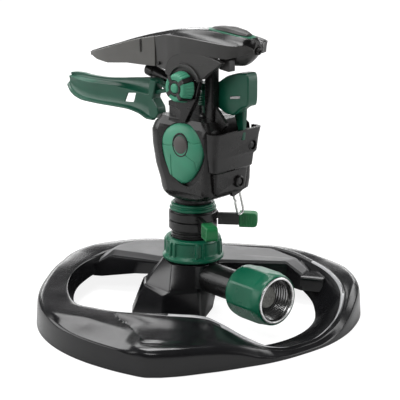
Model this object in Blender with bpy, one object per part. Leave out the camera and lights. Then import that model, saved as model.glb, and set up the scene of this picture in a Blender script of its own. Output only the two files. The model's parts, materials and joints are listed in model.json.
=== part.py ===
"""Part-circle impact sprinkler on a ring base, as an assembly of separate solids.

World frame: metres, +Z up, the floor at Z = 0 and the origin under the middle of the base.
The head is modelled in its own frame, whose X runs along the nozzle, Y to the knob side
and Z up the riser; one empty turns that frame to the nozzle's heading.
"""
import math

import bmesh
import bpy
from mathutils import Matrix, Vector

MM = 0.001
GAP = 0.3 * MM  # between pieces that seat on each other
WALL = 2.6 * MM  # moulded walls of the base
THIN_WALL = 2.2 * MM  # moulded walls of the head

# Ring base
BASE_STEPS = 60
BASE_CORNER = 256.7  # compass of the crisp front corner, from +X towards +Y
RING_SHOULDER = 5.0 * MM  # from the outer wall to the dome of the ring
RING_CREST_MARGIN = 7.0 * MM  # least width of the ring's top
RISER_OFFSET = (1.0 * MM, 6.0 * MM)  # riser axis from the middle of the plan
BRIDGE_HEADING = -13.4
BRIDGE_HEIGHT = 28.0 * MM
BRIDGE_SLOPE = 0.07  # fall of the bridge's top towards the rear
PEDESTAL_TOP = 38.5 * MM
PEDESTAL_RADIUS = 21.0 * MM

# Riser, hose inlet and swivel coupling
RISER_RADIUS = 12.5 * MM
RISER_BORE = 9.0 * MM
SPIGOT_RADIUS = 16.4 * MM
SPIGOT_TOP = 50.0 * MM
INLET_HEADING = -48.0
INLET_HEIGHT = 28.6 * MM
INLET_RADIUS = 10.5 * MM
INLET_BORE = 7.5 * MM
COUPLING_START = 48.5 * MM
COUPLING_END = 83.0 * MM
COUPLING_RADIUS = 17.9 * MM
COUPLING_WALL = 3.0 * MM
THREAD_RADIUS = 13.4 * MM  # inner radius of the hose thread insert
THREAD_WALL = 1.4 * MM
WASHER_THICK = 2.4 * MM

# Union nut, bearing sleeve and stop collars
NUT_BOTTOM = 40.0 * MM
NUT_RADIUS = 19.7 * MM
NUT_FLANGE_RADIUS = 21.2 * MM
NUT_SHOULDER = 2.0 * MM
NUT_LUGS = 6
SLEEVE_RADIUS = 15.0 * MM
SLEEVE_BORE = 11.0 * MM
SLEEVE_TOP = 74.2 * MM
SLEEVE_FLANGE = 1.6 * MM
SEAL_THICK = 1.2 * MM
COLLAR_RADIUS = 16.7 * MM
COLLAR_HEIGHT = 6.1 * MM
LOWER_COLLAR_BOTTOM = 61.0 * MM
STOP_REACH = 44.5 * MM
STOP_ARM_THICK = 3.0 * MM
STOP_ARM_BOTTOM = 63.6 * MM
STOP_ARM_TOP = 71.8 * MM
GRIP_LENGTH = 12.5 * MM
GRIP_WIDTH = 8.0 * MM
GRIP_MARGIN = 0.9 * MM  # grip above and below its arm
UPPER_STOP_HEADING = -6.0
LOWER_STOP_HEADING = -73.0
BEARING_RING_TOP = 80.0 * MM
BEARING_RING_RADIUS = 16.1 * MM

# Head body
HEAD_HEADING = 137.0  # compass of the nozzle, from +X towards +Y
BODY_BOTTOM = 80.4 * MM
BODY_HALF_WIDTH = 23.0 * MM
BODY_REAR = 34.0 * MM  # the rear housing starts here, behind the riser axis
POCKET_FLOOR = 29.8 * MM  # the trip lever and the arm's finger move between this and the housing
SPINDLE_RADIUS = 10.6 * MM
SPINDLE_BORE = 7.0 * MM
SPINDLE_BOTTOM = 58.0 * MM

# Side cover
COVER_CENTRE = (-12.5 * MM, 118.0 * MM)
COVER_HEIGHT = 42.0 * MM
COVER_WIDTH = 41.0 * MM
COVER_THICK = 2.6 * MM
CAP_RADIUS = 6.2 * MM

# Knob, nozzle, pivot and impact arm
KNOB_CENTRE = (-12.0 * MM, 163.5 * MM)
KNOB_RADIUS = 10.6 * MM
KNOB_INNER = 21.4 * MM  # inner face, out from the head's middle plane
KNOB_DEPTH = 9.0 * MM
CHEEK_OUTER = 19.8 * MM
CHEEK_THICK = 4.0 * MM
CHEEK_TOP = 168.5 * MM  # the hood's liner goes on above
NOZZLE_RISE = 15.5
NOZZLE_SIDE = -9.2 * MM
NOZZLE_TIP = (51.0 * MM, 164.3 * MM)
NOZZLE_LENGTH = 50.0 * MM
NOZZLE_RADIUS = 4.2 * MM
NOZZLE_BORE = 2.2 * MM
PIVOT = -14.5 * MM
PIVOT_RADIUS = 2.0 * MM
HUB_RADIUS = 4.3 * MM
HUB_BOTTOM = 143.4 * MM
HUB_TOP = 164.0 * MM
SPRING_RADIUS = 6.4 * MM
SPRING_WIRE = 0.55 * MM
SPRING_BOTTOM = 149.1 * MM
SPRING_TURNS = 5
SPRING_PITCH = 1.74 * MM
SPRING_TOP = SPRING_BOTTOM + SPRING_TURNS * SPRING_PITCH
BLADE_THICK = 2.4 * MM
WEIGHT_THICK = 8.5 * MM
COLUMN_CENTRE = (-26.0 * MM, 9.5 * MM)

# Trip parts
TRIP_PIVOT = (-4.5 * MM, 99.2 * MM)
TRIP_PLANE = -33.2 * MM
TRIP_TILT = 17.0  # lean of the trip lever at rest, towards the side away from the knob
TRIP_THICK = 2.4 * MM
WIRE_RADIUS = 0.8 * MM
WIRE_BOTTOM = 73.4 * MM
WIRE_HALF_WIDTH = 3.1 * MM

# Hood
HOOD_FLARE = 0.9 * MM  # the crease above the flank stands out over the skirt
FLAP_HINGE = (15.0 * MM, 175.2 * MM)
FLAP_PIN_RADIUS = 1.2 * MM


def mm(*values):
    """Millimetres as metres."""
    return tuple(v * MM for v in values)


def clear_scene():
    for obj in list(bpy.data.objects):
        bpy.data.objects.remove(obj, do_unlink=True)


def make_material(name, colour, roughness, metallic=0.0):
    mat = bpy.data.materials.new(name)
    mat.use_nodes = True
    shader = mat.node_tree.nodes["Principled BSDF"]
    shader.inputs["Base Color"].default_value = (*colour, 1.0)
    shader.inputs["Roughness"].default_value = roughness
    shader.inputs["Metallic"].default_value = metallic
    mat.diffuse_color = (*colour, 1.0)
    return mat


def add_frame(name, location, heading=0.0, parent=None):
    """Empty that carries pieces; heading in degrees about Z."""
    frame = bpy.data.objects.new(name, None)
    bpy.context.collection.objects.link(frame)
    frame.parent = parent
    frame.location = location
    frame.rotation_euler = (0.0, 0.0, math.radians(heading))
    return frame


def finish(bm, name, mat, parent=None, sharp=35.0):
    """Turn a closed bmesh into an object with outward faces and smooth round sides."""
    bmesh.ops.remove_doubles(bm, verts=bm.verts, dist=1e-7)
    bmesh.ops.recalc_face_normals(bm, faces=bm.faces)
    mesh = bpy.data.meshes.new(name)
    bm.to_mesh(mesh)
    bm.free()
    mesh.shade_smooth()
    mesh.set_sharp_from_angle(angle=math.radians(sharp))
    obj = bpy.data.objects.new(name, mesh)
    bpy.context.collection.objects.link(obj)
    if mat:
        mesh.materials.append(mat)
    obj.parent = parent
    return obj


def loft_bmesh(rings, closed=False):
    """Skin between rings of equally many points; caps the ends unless the loft closes."""
    bm = bmesh.new()
    loops = [[bm.verts.new(p) for p in ring] for ring in rings]
    pairs = list(zip(loops, loops[1:]))
    if closed:
        pairs.append((loops[-1], loops[0]))
    for a, b in pairs:
        for i in range(len(a)):
            j = (i + 1) % len(a)
            bm.faces.new((a[i], a[j], b[j], b[i]))
    if not closed:
        bm.faces.new(loops[0])
        bm.faces.new(loops[-1])
    return bm


def loft(name, rings, mat, parent=None, closed=False, sharp=35.0):
    return finish(loft_bmesh(rings, closed), name, mat, parent, sharp)


def turn(name, profile, mat, parent=None, place=None, steps=32):
    """Solid of revolution: a closed (radius, height) profile spun about the Z axis of place."""
    bm = bmesh.new()
    verts = [bm.verts.new((r, 0.0, z)) for r, z in profile]
    edges = [bm.edges.new((verts[i], verts[(i + 1) % len(verts)])) for i in range(len(verts))]
    on_axis = [e for e in edges if all(abs(v.co.x) < 1e-9 for v in e.verts)]
    bmesh.ops.spin(bm, geom=verts + [e for e in edges if e not in on_axis], axis=(0, 0, 1),
                   cent=(0, 0, 0), angle=math.tau, steps=steps, use_merge=True)
    bmesh.ops.remove_doubles(bm, verts=bm.verts, dist=1e-7)
    loose = [e for e in bm.edges if not e.link_faces]
    bmesh.ops.delete(bm, geom=loose, context="EDGES")
    if place:
        bm.transform(place)
    return finish(bm, name, mat, parent)


def tube_profile(outer, inner, bottom, top, chamfer=0.0):
    """Closed profile of a plain ring or tube, with its outer corners broken."""
    c = chamfer
    if c:
        return [(inner, bottom), (outer - c, bottom), (outer, bottom + c), (outer, top - c),
                (outer - c, top), (inner, top)]
    return [(inner, bottom), (outer, bottom), (outer, top), (inner, top)]


def rounded(points, radius, steps=4):
    """Outline with every corner replaced by an arc-like curve; radius may be a list."""
    out = []
    count = len(points)
    radii = radius if isinstance(radius, (list, tuple)) else [radius] * count
    for i, p in enumerate(points):
        p = Vector(p)
        before = Vector(points[i - 1]) - p
        after = Vector(points[(i + 1) % count]) - p
        if radii[i] <= 0.0:
            out.append(tuple(p))
            continue
        half = before.angle(after) / 2.0
        reach = min(radii[i] / math.tan(half), 0.49 * before.length, 0.49 * after.length)
        a = p + before.normalized() * reach
        b = p + after.normalized() * reach
        for k in range(steps + 1):
            t = k / steps
            q = a * (1 - t) ** 2 + p * 2 * t * (1 - t) + b * t ** 2
            out.append(tuple(q))
    return out


def prism(name, outline, near, far, mat, parent=None, plane="XZ", bevel=0.0, place=None):
    """Outline extruded from near to far along the axis that its plane leaves out."""
    def place_point(a, b, c):
        return {"XZ": (a, c, b), "XY": (a, b, c), "YZ": (c, a, b)}[plane]
    bm = loft_bmesh([[place_point(a, b, c) for a, b in outline] for c in (near, far)])
    if bevel:
        bmesh.ops.recalc_face_normals(bm, faces=bm.faces)
        rim = [e for e in bm.edges if any(len(f.verts) > 4 for f in e.link_faces)]
        if len(outline) == 4:
            rim = [e for e in bm.edges if abs(e.calc_face_angle(0.0)) > 0.3]
        bmesh.ops.bevel(bm, geom=rim, offset=bevel, segments=1, affect="EDGES", clamp_overlap=True)
    if place:
        bm.transform(place)
    return finish(bm, name, mat, parent)


def combine(target, operation, others):
    """One Boolean on the target with a group of bodies, which stay as hidden guides."""
    group = bpy.data.collections.new("%s_%s" % (target.name, operation.lower()))
    bpy.context.scene.collection.children.link(group)
    for other in others:
        group.objects.link(other)
        other.hide_render = True
        other.display_type = "WIRE"
    mod = target.modifiers.new(group.name, "BOOLEAN")
    mod.operation = operation
    mod.operand_type = "COLLECTION"
    mod.collection = group
    mod.solver = "EXACT"


def cut(target, *others):
    combine(target, "DIFFERENCE", others)


def unite(target, *others):
    combine(target, "UNION", others)


def along(start, direction):
    """Matrix that carries the Z axis to a line from start along direction."""
    turn_to = Vector(direction).to_track_quat("Z", "Y").to_matrix().to_4x4()
    return Matrix.Translation(Vector(start)) @ turn_to


def steady(stations, angle):
    """Periodic cubic through rows (angle, value, ...) that never overshoots between two rows."""
    rows = [(row[0] + shift, *row[1:]) for shift in (-360.0, 0.0, 360.0) for row in stations]
    angle %= 360.0
    spot = max(i for i, row in enumerate(rows) if row[0] <= angle)
    near = rows[spot - 1:spot + 3]
    span = [b[0] - a[0] for a, b in zip(near, near[1:])]
    t = (angle - near[1][0]) / span[1]
    values = []
    for column in list(zip(*near))[1:]:
        rise = [(b - a) / w for a, b, w in zip(column, column[1:], span)]
        slope = [0.0 if u * v <= 0.0 else 2.0 * u * v / (u + v) for u, v in zip(rise, rise[1:])]
        start, end = column[1], column[2]
        bend = (2 * t ** 3 - 3 * t ** 2 + 1) * start + (3 * t ** 2 - 2 * t ** 3) * end
        values.append(bend + span[1] * ((t ** 3 - 2 * t ** 2 + t) * slope[0] + (t ** 3 - t ** 2) * slope[1]))
    return values


# Outer outline by heading about the middle of the plan: three lobes, the front one with a crisp corner
OUTLINE = [(4, *mm(118.2)), (16, *mm(118.6)), (24, *mm(116.2)), (33, *mm(112.2)), (52, *mm(106.8)),
           (76, *mm(105.0)), (97, *mm(108.0)), (118, *mm(115.0)), (136, *mm(119.0)),
           (153, *mm(110.8)), (171, *mm(106.5)),
           (206, *mm(109.3)), (239, *mm(113.8)), (250, *mm(117.0)), (BASE_CORNER, *mm(119.2)),
           (264, *mm(115.6)), (276, *mm(108.8)), (292, *mm(104.9)), (310, *mm(105.5)), (327, *mm(109.2)),
           (346, *mm(113.8))]


def base_radius(heading):
    """Outer radius of the base's plan."""
    return steady(OUTLINE, heading)[0]


def plan_middle():
    """Middle of the plan, placed so that the plan's box is centred on the origin."""
    spots = []
    for k in range(BASE_STEPS):
        heading = BASE_CORNER + 360.0 * k / BASE_STEPS
        radius, h = base_radius(heading), math.radians(heading)
        spots.append((radius * math.cos(h), radius * math.sin(h)))
    xs, ys = zip(*spots)
    return -(max(xs) + min(xs)) / 2, -(max(ys) + min(ys)) / 2


PLAN_X, PLAN_Y = plan_middle()
RISER_X = PLAN_X + RISER_OFFSET[0]
RISER_Y = PLAN_Y + RISER_OFFSET[1]

# Ring section by heading: radius of the crest and of the inner slope's foot (both from the
# plan's middle), height of the outer shoulder, of the crest and of the inner foot. The low place
# at the right front lets the hose pass; the wide stretch at the front carries the pedestal.
RING_STATIONS = [
    (0, *mm(100.5, 86, 22.6, 23, 0)),
    (12, *mm(97, 87, 23.8, 24.2, 2)),
    (24, *mm(95, 87.5, 23.8, 24.3, 4)),
    (38, *mm(94, 88.5, 24.8, 25.3, 9)),
    (50, *mm(94, 90, 24.1, 24.8, 12)),
    (62, *mm(93, 89, 22.2, 23, 12)),
    (78, *mm(92, 88, 21, 22, 12)),
    (97, *mm(92, 88, 22.3, 23.1, 12)),
    (112, *mm(92, 88, 23.8, 24.5, 12)),
    (128, *mm(91.5, 87.5, 24, 24.6, 12)),
    (141, *mm(91, 87, 22.8, 23.5, 12)),
    (158, *mm(88, 85, 23.1, 23.7, 11)),
    (180, *mm(86, 82, 21.6, 22.2, 11)),
    (204, *mm(85, 80, 20, 20.5, 11)),
    (216, *mm(77.5, 71, 20, 20.6, 11)),
    (230, *mm(71, 60, 19.6, 21, 10)),
    (242, *mm(66, 43, 19.2, 21.3, 9)),
    (256, *mm(62.5, 27, 18.6, 21.4, 8)),
    (268, *mm(62.5, 27, 18, 21, 8)),
    (278, *mm(64, 37, 17, 19.8, 6)),
    (287, *mm(70, 55, 14, 15.5, 3)),
    (295, *mm(82, 66, 9.2, 9.8, 0.5)),
    (302, *mm(95, 74, 5.2, 5.6, 0)),
    (309, *mm(98.5, 78, 3.6, 3.8, 0)),
    (320, *mm(101.5, 81, 3.8, 4, 0)),
    (330, *mm(104, 83, 7, 7.2, 0)),
    (340, *mm(104.5, 84.5, 13, 13.4, 0)),
    (350, *mm(103.5, 85.5, 19.4, 20, 0)),
]
CREST_SOFTNESS = [(0, 0.1), (60, 0.2), (130, 0.35), (200, 0.4), (225, 0.3), (245, 0.1), (330, 0.1)]
HOLLOW_HEADING = 234.0  # leaf-shaped hollow pressed into the front left shoulder
HOLLOW_RADIUS = 101.0 * MM
HOLLOW_SPAN = 15.0
HOLLOW_WIDTH = 11.5 * MM
HOLLOW_DEPTH = 2.2 * MM


def soften(points, shares, steps=2):
    """Open path whose inner corners become short curves; a share says how much of each side goes."""
    points = [Vector(p) for p in points]
    out = [points[0]]
    for before, corner, after, share in zip(points, points[1:], points[2:], shares):
        a, b = corner.lerp(before, share), corner.lerp(after, share)
        if share <= 0.0:
            out.append(corner)
            continue
        for k in range(steps + 1):
            t = k / steps
            out.append(a * (1 - t) ** 2 + corner * 2 * t * (1 - t) + b * t ** 2)
    return out + [points[-1]]


def ring_path(heading, inset):
    """Section of the ring as (radius, height), from the outer foot over the crest to the inner foot."""
    crest, foot, top, crest_top, lip = steady(RING_STATIONS, heading)
    outer = base_radius(heading)
    crest = min(crest, outer - RING_CREST_MARGIN) + inset
    outer, foot, top, crest_top = outer - inset, foot + inset, top - inset, crest_top - inset
    wall_top = max(top - 4.2 * MM, 0.55 * top)
    shoulder = min(RING_SHOULDER, 0.45 * (outer - crest))
    slope = crest_top - lip
    corners = [
        (outer, 0.0),
        (outer - 0.06 * wall_top, wall_top),
        (outer - shoulder, top - 0.08 * shoulder),
        (0.5 * (outer + crest), 0.5 * (top + crest_top) + 0.3 * MM),
        (crest, crest_top),
        (0.5 * (crest + foot), lip + 0.4 * slope),
        (foot, lip),
    ]
    soft = steady(CREST_SOFTNESS, heading)[0]
    if inset:
        path = [Vector(p) for p in corners]
    else:
        path = soften(corners, [0.3, 0.45, 0.0, soft, 0.3])
    turned = (heading - HOLLOW_HEADING + 180.0) % 360.0 - 180.0
    for p in path:
        across_hollow = (p.x - HOLLOW_RADIUS) / HOLLOW_WIDTH
        press = max(0.0, 1.0 - (turned / HOLLOW_SPAN) ** 2 - across_hollow ** 2)
        if p.y > wall_top * 0.8:
            p.y -= HOLLOW_DEPTH * press
    return [tuple(p) for p in path]


def build_base(mat):
    rings = []
    for k in range(BASE_STEPS):
        heading = BASE_CORNER + 360.0 * k / BASE_STEPS
        h = math.radians(heading)
        section = ring_path(heading, 0.0) + ring_path(heading, WALL)[::-1]
        rings.append([(PLAN_X + r * math.cos(h), PLAN_Y + r * math.sin(h), z) for r, z in section])
    base = loft("base_ring", rings, mat, closed=True, sharp=50.0)
    unite(base, build_bridge(), build_pedestal())
    riser = turn("riser_passage", tube_profile(SPIGOT_RADIUS + GAP, 0.0, -MM, PEDESTAL_TOP + MM),
                 None, place=Matrix.Translation((RISER_X, RISER_Y, 0.0)))
    inlet = turn("inlet_passage", tube_profile(INLET_RADIUS + GAP, 0.0, 8.0 * MM, 45.0 * MM),
                 None, place=inlet_place(), steps=32)
    cut(base, riser, inlet)
    return base


# Rear bridge, in a plan turned by its heading about the riser: columns from the front left corner
# round by the right, each with its top point (x, y), the point (x, y, z) of the edge below it and
# the point (x, y, z) at its foot. At the sides and rear the foot lies inside the ring's wall.
BRIDGE_COLUMNS = [
    (mm(-67, 39), mm(-72, 30, 23.6), mm(-82.5, 27, 14)),
    (mm(-33, 37), mm(-33, 28, 24), mm(-33, 28, 14)),
    (mm(-20, 37), mm(-20, 35.5, 24), mm(-20, 35.5, 14)),
    (mm(57, 37.5), mm(58, 36, 24), mm(58, 36, 14)),
    (mm(61, 41.5), mm(71, 27.5, 20.9), mm(72, 26, 14)),
    (mm(66, 45), mm(79.5, 36, 21.5), mm(85.4, 33.4, 10.4)),
    (mm(66, 49), mm(77, 47, 24.6), mm(86, 46, 22.6)),
    (mm(60, 56), mm(69, 61, 25.4), mm(74, 66, 23.2)),
    (mm(44, 67), mm(48, 73, 25.4), mm(50, 77, 23.4)),
    (mm(0, 73), mm(0, 82, 24.2), mm(0, 89, 20.4)),
    (mm(-55, 65), mm(-56, 69, 25.2), mm(-56, 72, 23)),
    (mm(-68, 56), mm(-73, 56, 25.2), mm(-76, 53, 23)),
    (mm(-69, 47), mm(-76, 44, 24.6), mm(-84, 40, 22)),
]


def inset_loop(points, distance):
    """Closed loop of (x, y) points moved inwards, each along the bisector of its corner."""
    out = []
    for i, p in enumerate(points):
        before = (Vector(p) - Vector(points[i - 1])).normalized()
        after = (Vector(points[(i + 1) % len(points)]) - Vector(p)).normalized()
        bisector = Vector((-before.y - after.y, before.x + after.x))
        lean_in = max(0.5, bisector.length / 2.0)
        out.append(tuple(Vector(p) + bisector.normalized() * (distance / lean_in)))
    return out


def build_bridge():
    """Rear bridge: a low hollow deck with a ledge at the front left and a ramp at the right."""
    tops = [(*top, BRIDGE_HEIGHT - BRIDGE_SLOPE * (top[1] - BRIDGE_COLUMNS[0][0][1])) for top, edge,
            foot in BRIDGE_COLUMNS]
    ledges = [(0.8 * top[0] + 0.2 * edge[0], 0.8 * top[1] + 0.2 * edge[1],
               edge[2] + 0.25 * (top[2] - edge[2]))
              for top, (_, edge, foot) in zip(tops, BRIDGE_COLUMNS)]
    levels = [tops, ledges, [edge for top, edge, foot in BRIDGE_COLUMNS],
              [foot for top, edge, foot in BRIDGE_COLUMNS]]
    heading = math.radians(BRIDGE_HEADING)

    def place(x, y, z):
        return (RISER_X + x * math.cos(heading) - y * math.sin(heading),
                RISER_Y + x * math.sin(heading) + y * math.cos(heading), z)

    deck = loft("rear_bridge", [[place(*p) for p in level] for level in levels], None, sharp=28.0)
    linings = []
    for level, drop in zip(levels, (WALL, WALL, WALL, 10.0 * MM)):
        plan = inset_loop([p[:2] for p in level], WALL)
        linings.append([place(x, y, p[2] - drop) for (x, y), p in zip(plan, level)])
    cut(deck, loft("bridge_hollow", linings, None))
    return deck


def pedestal_ring(z, left, right, front, back, corner):
    outline = rounded([(left, front), (right, front), (right, back), (left, back)], corner, steps=5)
    return [(RISER_X + x, RISER_Y + y, z) for x, y in outline]


def build_pedestal():
    """Four-sided hollow foot of the riser, round at its top, leaning to the left as it goes down."""
    r = PEDESTAL_RADIUS
    c = r * 0.99
    levels = [(PEDESTAL_TOP, -r, r, -r, r, c), (33 * MM, -r - 3 * MM, r - 2 * MM, -r - 2 * MM, r + 2 * MM,
                                                15 * MM),
              (22 * MM, *mm(-30, 14, -29, 30, 5)), (8 * MM, *mm(-38.5, 9, -35, 33, 4))]
    outer = [pedestal_ring(*level) for level in levels]
    inner = [pedestal_ring(z - (WALL if k == 0 else 0.0), a + WALL, b - WALL, f + WALL, d - WALL,
                           max(corner - WALL, 2 * MM))
             for k, (z, a, b, f, d, corner) in enumerate(levels)]
    hole = SPIGOT_RADIUS - 2.0 * MM
    lip = [pedestal_ring(z, -hole, hole, -hole, hole, hole * 0.99)
           for z in (PEDESTAL_TOP - WALL, PEDESTAL_TOP)]
    rings = outer + inner[::-1] + lip
    pedestal = loft("pedestal", rings, None, closed=True, sharp=24.0)
    panel = [mm(-31, 9.5), mm(6.0, 9.5), mm(8.0, 21.6), mm(-12.0, 21.6), mm(-22.5, 23.6), mm(-27.0, 22.0)]
    slope = (35 - 29) / (22 - 8)
    depth = 1.1 * MM
    faces = [[(RISER_X + x, RISER_Y + y - slope * (22 * MM - z), z) for x, z in panel]
             for y in (-50 * MM, -29 * MM + depth)]
    cut(pedestal, loft("panel_recess", faces, None))
    return pedestal


def inlet_place():
    """Z axis along the hose inlet, from the riser axis outwards."""
    h = math.radians(INLET_HEADING)
    return along((RISER_X, RISER_Y, INLET_HEIGHT), (math.cos(h), math.sin(h), 0.0))


def build_inlet(black, green, chrome, rubber, mesh_grey):
    """Elbow under the riser, hose coupling with its thread insert, washer and strainer."""
    riser_at = Matrix.Translation((RISER_X, RISER_Y, 0.0))
    out = inlet_place()
    stop = COUPLING_START + COUPLING_WALL + GAP  # back face of the elbow's retaining flange
    flange_end = stop + 2.4 * MM
    elbow = turn("inlet_elbow", [(0.0, 12 * MM), (RISER_RADIUS - 2 * MM, 12 * MM), (RISER_RADIUS, 14 * MM),
                                 (RISER_RADIUS, PEDESTAL_TOP - WALL - 2 * MM),
                                 (SPIGOT_RADIUS, PEDESTAL_TOP - WALL - 1 * MM),
                                 (SPIGOT_RADIUS, SPIGOT_TOP - 0.6 * MM), (SPIGOT_RADIUS - 0.6 * MM,
                                         SPIGOT_TOP),
                                 (0.0, SPIGOT_TOP)], black, place=riser_at)
    pipe = turn("inlet_pipe", [(0.0, 0.0), (INLET_RADIUS, 0.0), (INLET_RADIUS, stop),
                               (THREAD_RADIUS - 0.6 * MM, stop), (THREAD_RADIUS - 0.6 * MM, flange_end),
                               (0.0, flange_end)], None, place=out, steps=32)
    riser_bore = turn("riser_bore", tube_profile(RISER_BORE, 0.0, 18 * MM, SPIGOT_TOP + MM), None,
                      place=riser_at, steps=32)
    pipe_bore = turn("pipe_bore", tube_profile(INLET_BORE, 0.0, 0.0, flange_end + MM), None, place=out,
                     steps=32)
    unite(elbow, pipe)
    cut(elbow, riser_bore, pipe_bore)

    washer_start = flange_end + GAP
    washer_end = washer_start + WASHER_THICK
    turn("hose_washer", tube_profile(THREAD_RADIUS - 0.5 * MM, INLET_BORE, washer_start, washer_end,
                                     0.3 * MM),
         rubber, place=out, steps=32)
    cup = washer_end + 9.0 * MM
    start = washer_end + GAP
    r = INLET_BORE - 1.2 * MM
    turn("inlet_strainer", [(0.0, cup - 1.1 * MM), (r - 1.1 * MM, cup - 1.1 * MM), (r - 1.1 * MM, start),
                            (THREAD_RADIUS - 0.6 * MM, start), (THREAD_RADIUS - 0.6 * MM, start + 1.2 * MM),
                            (r, start + 1.2 * MM), (r, cup - 1.0 * MM), (r - 1.0 * MM, cup), (0.0, cup)],
         mesh_grey, place=out, steps=32)

    insert_outer = THREAD_RADIUS + THREAD_WALL
    a, b = COUPLING_START, COUPLING_END
    turn("thread_insert", [(THREAD_RADIUS, stop + GAP), (insert_outer, stop + GAP),
                           (insert_outer, b - 1.6 * MM),
                           (insert_outer + 1.0 * MM, b - 1.6 * MM), (insert_outer + 1.0 * MM, b - 0.3 * MM),
                           (insert_outer + 0.6 * MM, b), (THREAD_RADIUS + 0.4 * MM, b), (THREAD_RADIUS,
                                   b - 0.5 * MM)],
         chrome, place=out)
    inner = insert_outer + GAP
    seat = insert_outer + 1.0 * MM + GAP
    turn_lobed("hose_coupling", [(INLET_RADIUS + 0.4 * MM, a, 0), (COUPLING_RADIUS - 2.6 * MM, a, 0),
                                 (COUPLING_RADIUS - 0.4 * MM, a + 3.0 * MM,
                                  1), (COUPLING_RADIUS + 0.3 * MM, a + 13 * MM, 1),
                                 (COUPLING_RADIUS, b - 8 * MM, 1), (COUPLING_RADIUS - 0.6 * MM,
                                         b - 3.0 * MM, 0),
                                 (COUPLING_RADIUS - 1.2 * MM, b - 0.6 * MM, 0), (seat + 0.6 * MM,
                                         b - 0.1 * MM, 0),
                                 (seat, b - 1.9 * MM, 0), (inner, b - 1.9 * MM, 0), (inner,
                                         a + COUPLING_WALL, 0),
                                 (INLET_RADIUS + 0.4 * MM, a + COUPLING_WALL, 0)],
               lambda h: 0.35 * MM * math.cos(12 * h), green, out, steps=48)


def turn_lobed(name, profile, wave, mat, place, steps=72, parent=None):
    """Turned ring whose marked profile points (radius, height, mark) follow a wave round the axis."""
    rings = []
    for k in range(steps):
        h = math.tau * k / steps
        ring = []
        for r, z, mark in profile:
            rr = r + mark * wave(h)
            ring.append((rr * math.cos(h), rr * math.sin(h), z))
        rings.append(ring)
    bm = loft_bmesh(rings, closed=True)
    bm.transform(place)
    return finish(bm, name, mat, parent)


def build_union(green, black, rubber):
    """Union nut, seal, bearing sleeve and bearing ring above the spigot."""
    at = Matrix.Translation((RISER_X, RISER_Y, 0.0))
    seal_bottom = SPIGOT_TOP + GAP
    flange_bottom = seal_bottom + SEAL_THICK + GAP
    flange_top = flange_bottom + SLEEVE_FLANGE
    turn("riser_seal", tube_profile(SPIGOT_RADIUS - 0.6 * MM, RISER_BORE + 0.5 * MM, seal_bottom,
                                    seal_bottom + SEAL_THICK), rubber, place=at, steps=32)
    turn("bearing_sleeve", [(SLEEVE_BORE, flange_bottom), (SPIGOT_RADIUS, flange_bottom),
                            (SPIGOT_RADIUS, flange_top), (SLEEVE_RADIUS, flange_top),
                            (SLEEVE_RADIUS, SLEEVE_TOP - 0.6 * MM), (SLEEVE_RADIUS - 0.6 * MM, SLEEVE_TOP),
                            (SLEEVE_BORE, SLEEVE_TOP)], black, place=at)

    def lug(h):
        """Two narrow ribs beside each of the nut's grip panels, the panels sunk between them."""
        phase = (math.degrees(h) - 14.0 + 90.0) % (360.0 / NUT_LUGS)
        pitch = 360.0 / NUT_LUGS
        off = min(phase, pitch - phase)
        if off < 3.0:
            return -0.5 * MM
        if off < 8.5:
            return 0.45 * MM
        return -0.95 * MM
    cavity = SPIGOT_RADIUS + GAP
    hole = SLEEVE_RADIUS + GAP
    shoulder = flange_top + GAP
    b, t, f = NUT_BOTTOM, shoulder + NUT_SHOULDER, NUT_FLANGE_RADIUS
    turn_lobed("union_nut", [(cavity, b, 0), (f - 0.6 * MM, b, 0), (f, b + 0.6 * MM, 0),
                             (f, b + 2.0 * MM, 0),
                             (NUT_RADIUS + 0.4 * MM, b + 3.0 * MM, 1), (NUT_RADIUS, t - 2.2 * MM, 1),
                             (NUT_RADIUS - 0.8 * MM, t - 0.7 * MM, 0.5), (NUT_RADIUS - 2.0 * MM, t, 0),
                             (hole, t, 0), (hole, shoulder, 0), (cavity, shoulder, 0)],
               lug, green, at, steps=60)

    ring_bottom = SLEEVE_TOP + GAP
    r = BEARING_RING_RADIUS
    low = ring_bottom
    top = BEARING_RING_TOP
    turn("bearing_ring", [(SPINDLE_RADIUS + GAP, low), (r - 0.4 * MM, low), (r, low + 0.5 * MM),
                          (r, low + 1.9 * MM),
                          (r - 1.5 * MM, low + 2.3 * MM), (r - 1.5 * MM, low + 3.0 * MM),
                          (r - 1.0 * MM, low + 3.4 * MM), (r - 1.0 * MM, low + 4.6 * MM), (r - 2.6 * MM,
                                  top - 0.4 * MM),
                          (r - 3.2 * MM, low + 4.4 * MM), (SPINDLE_RADIUS + GAP, low + 4.4 * MM)],
         green, place=at)


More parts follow.
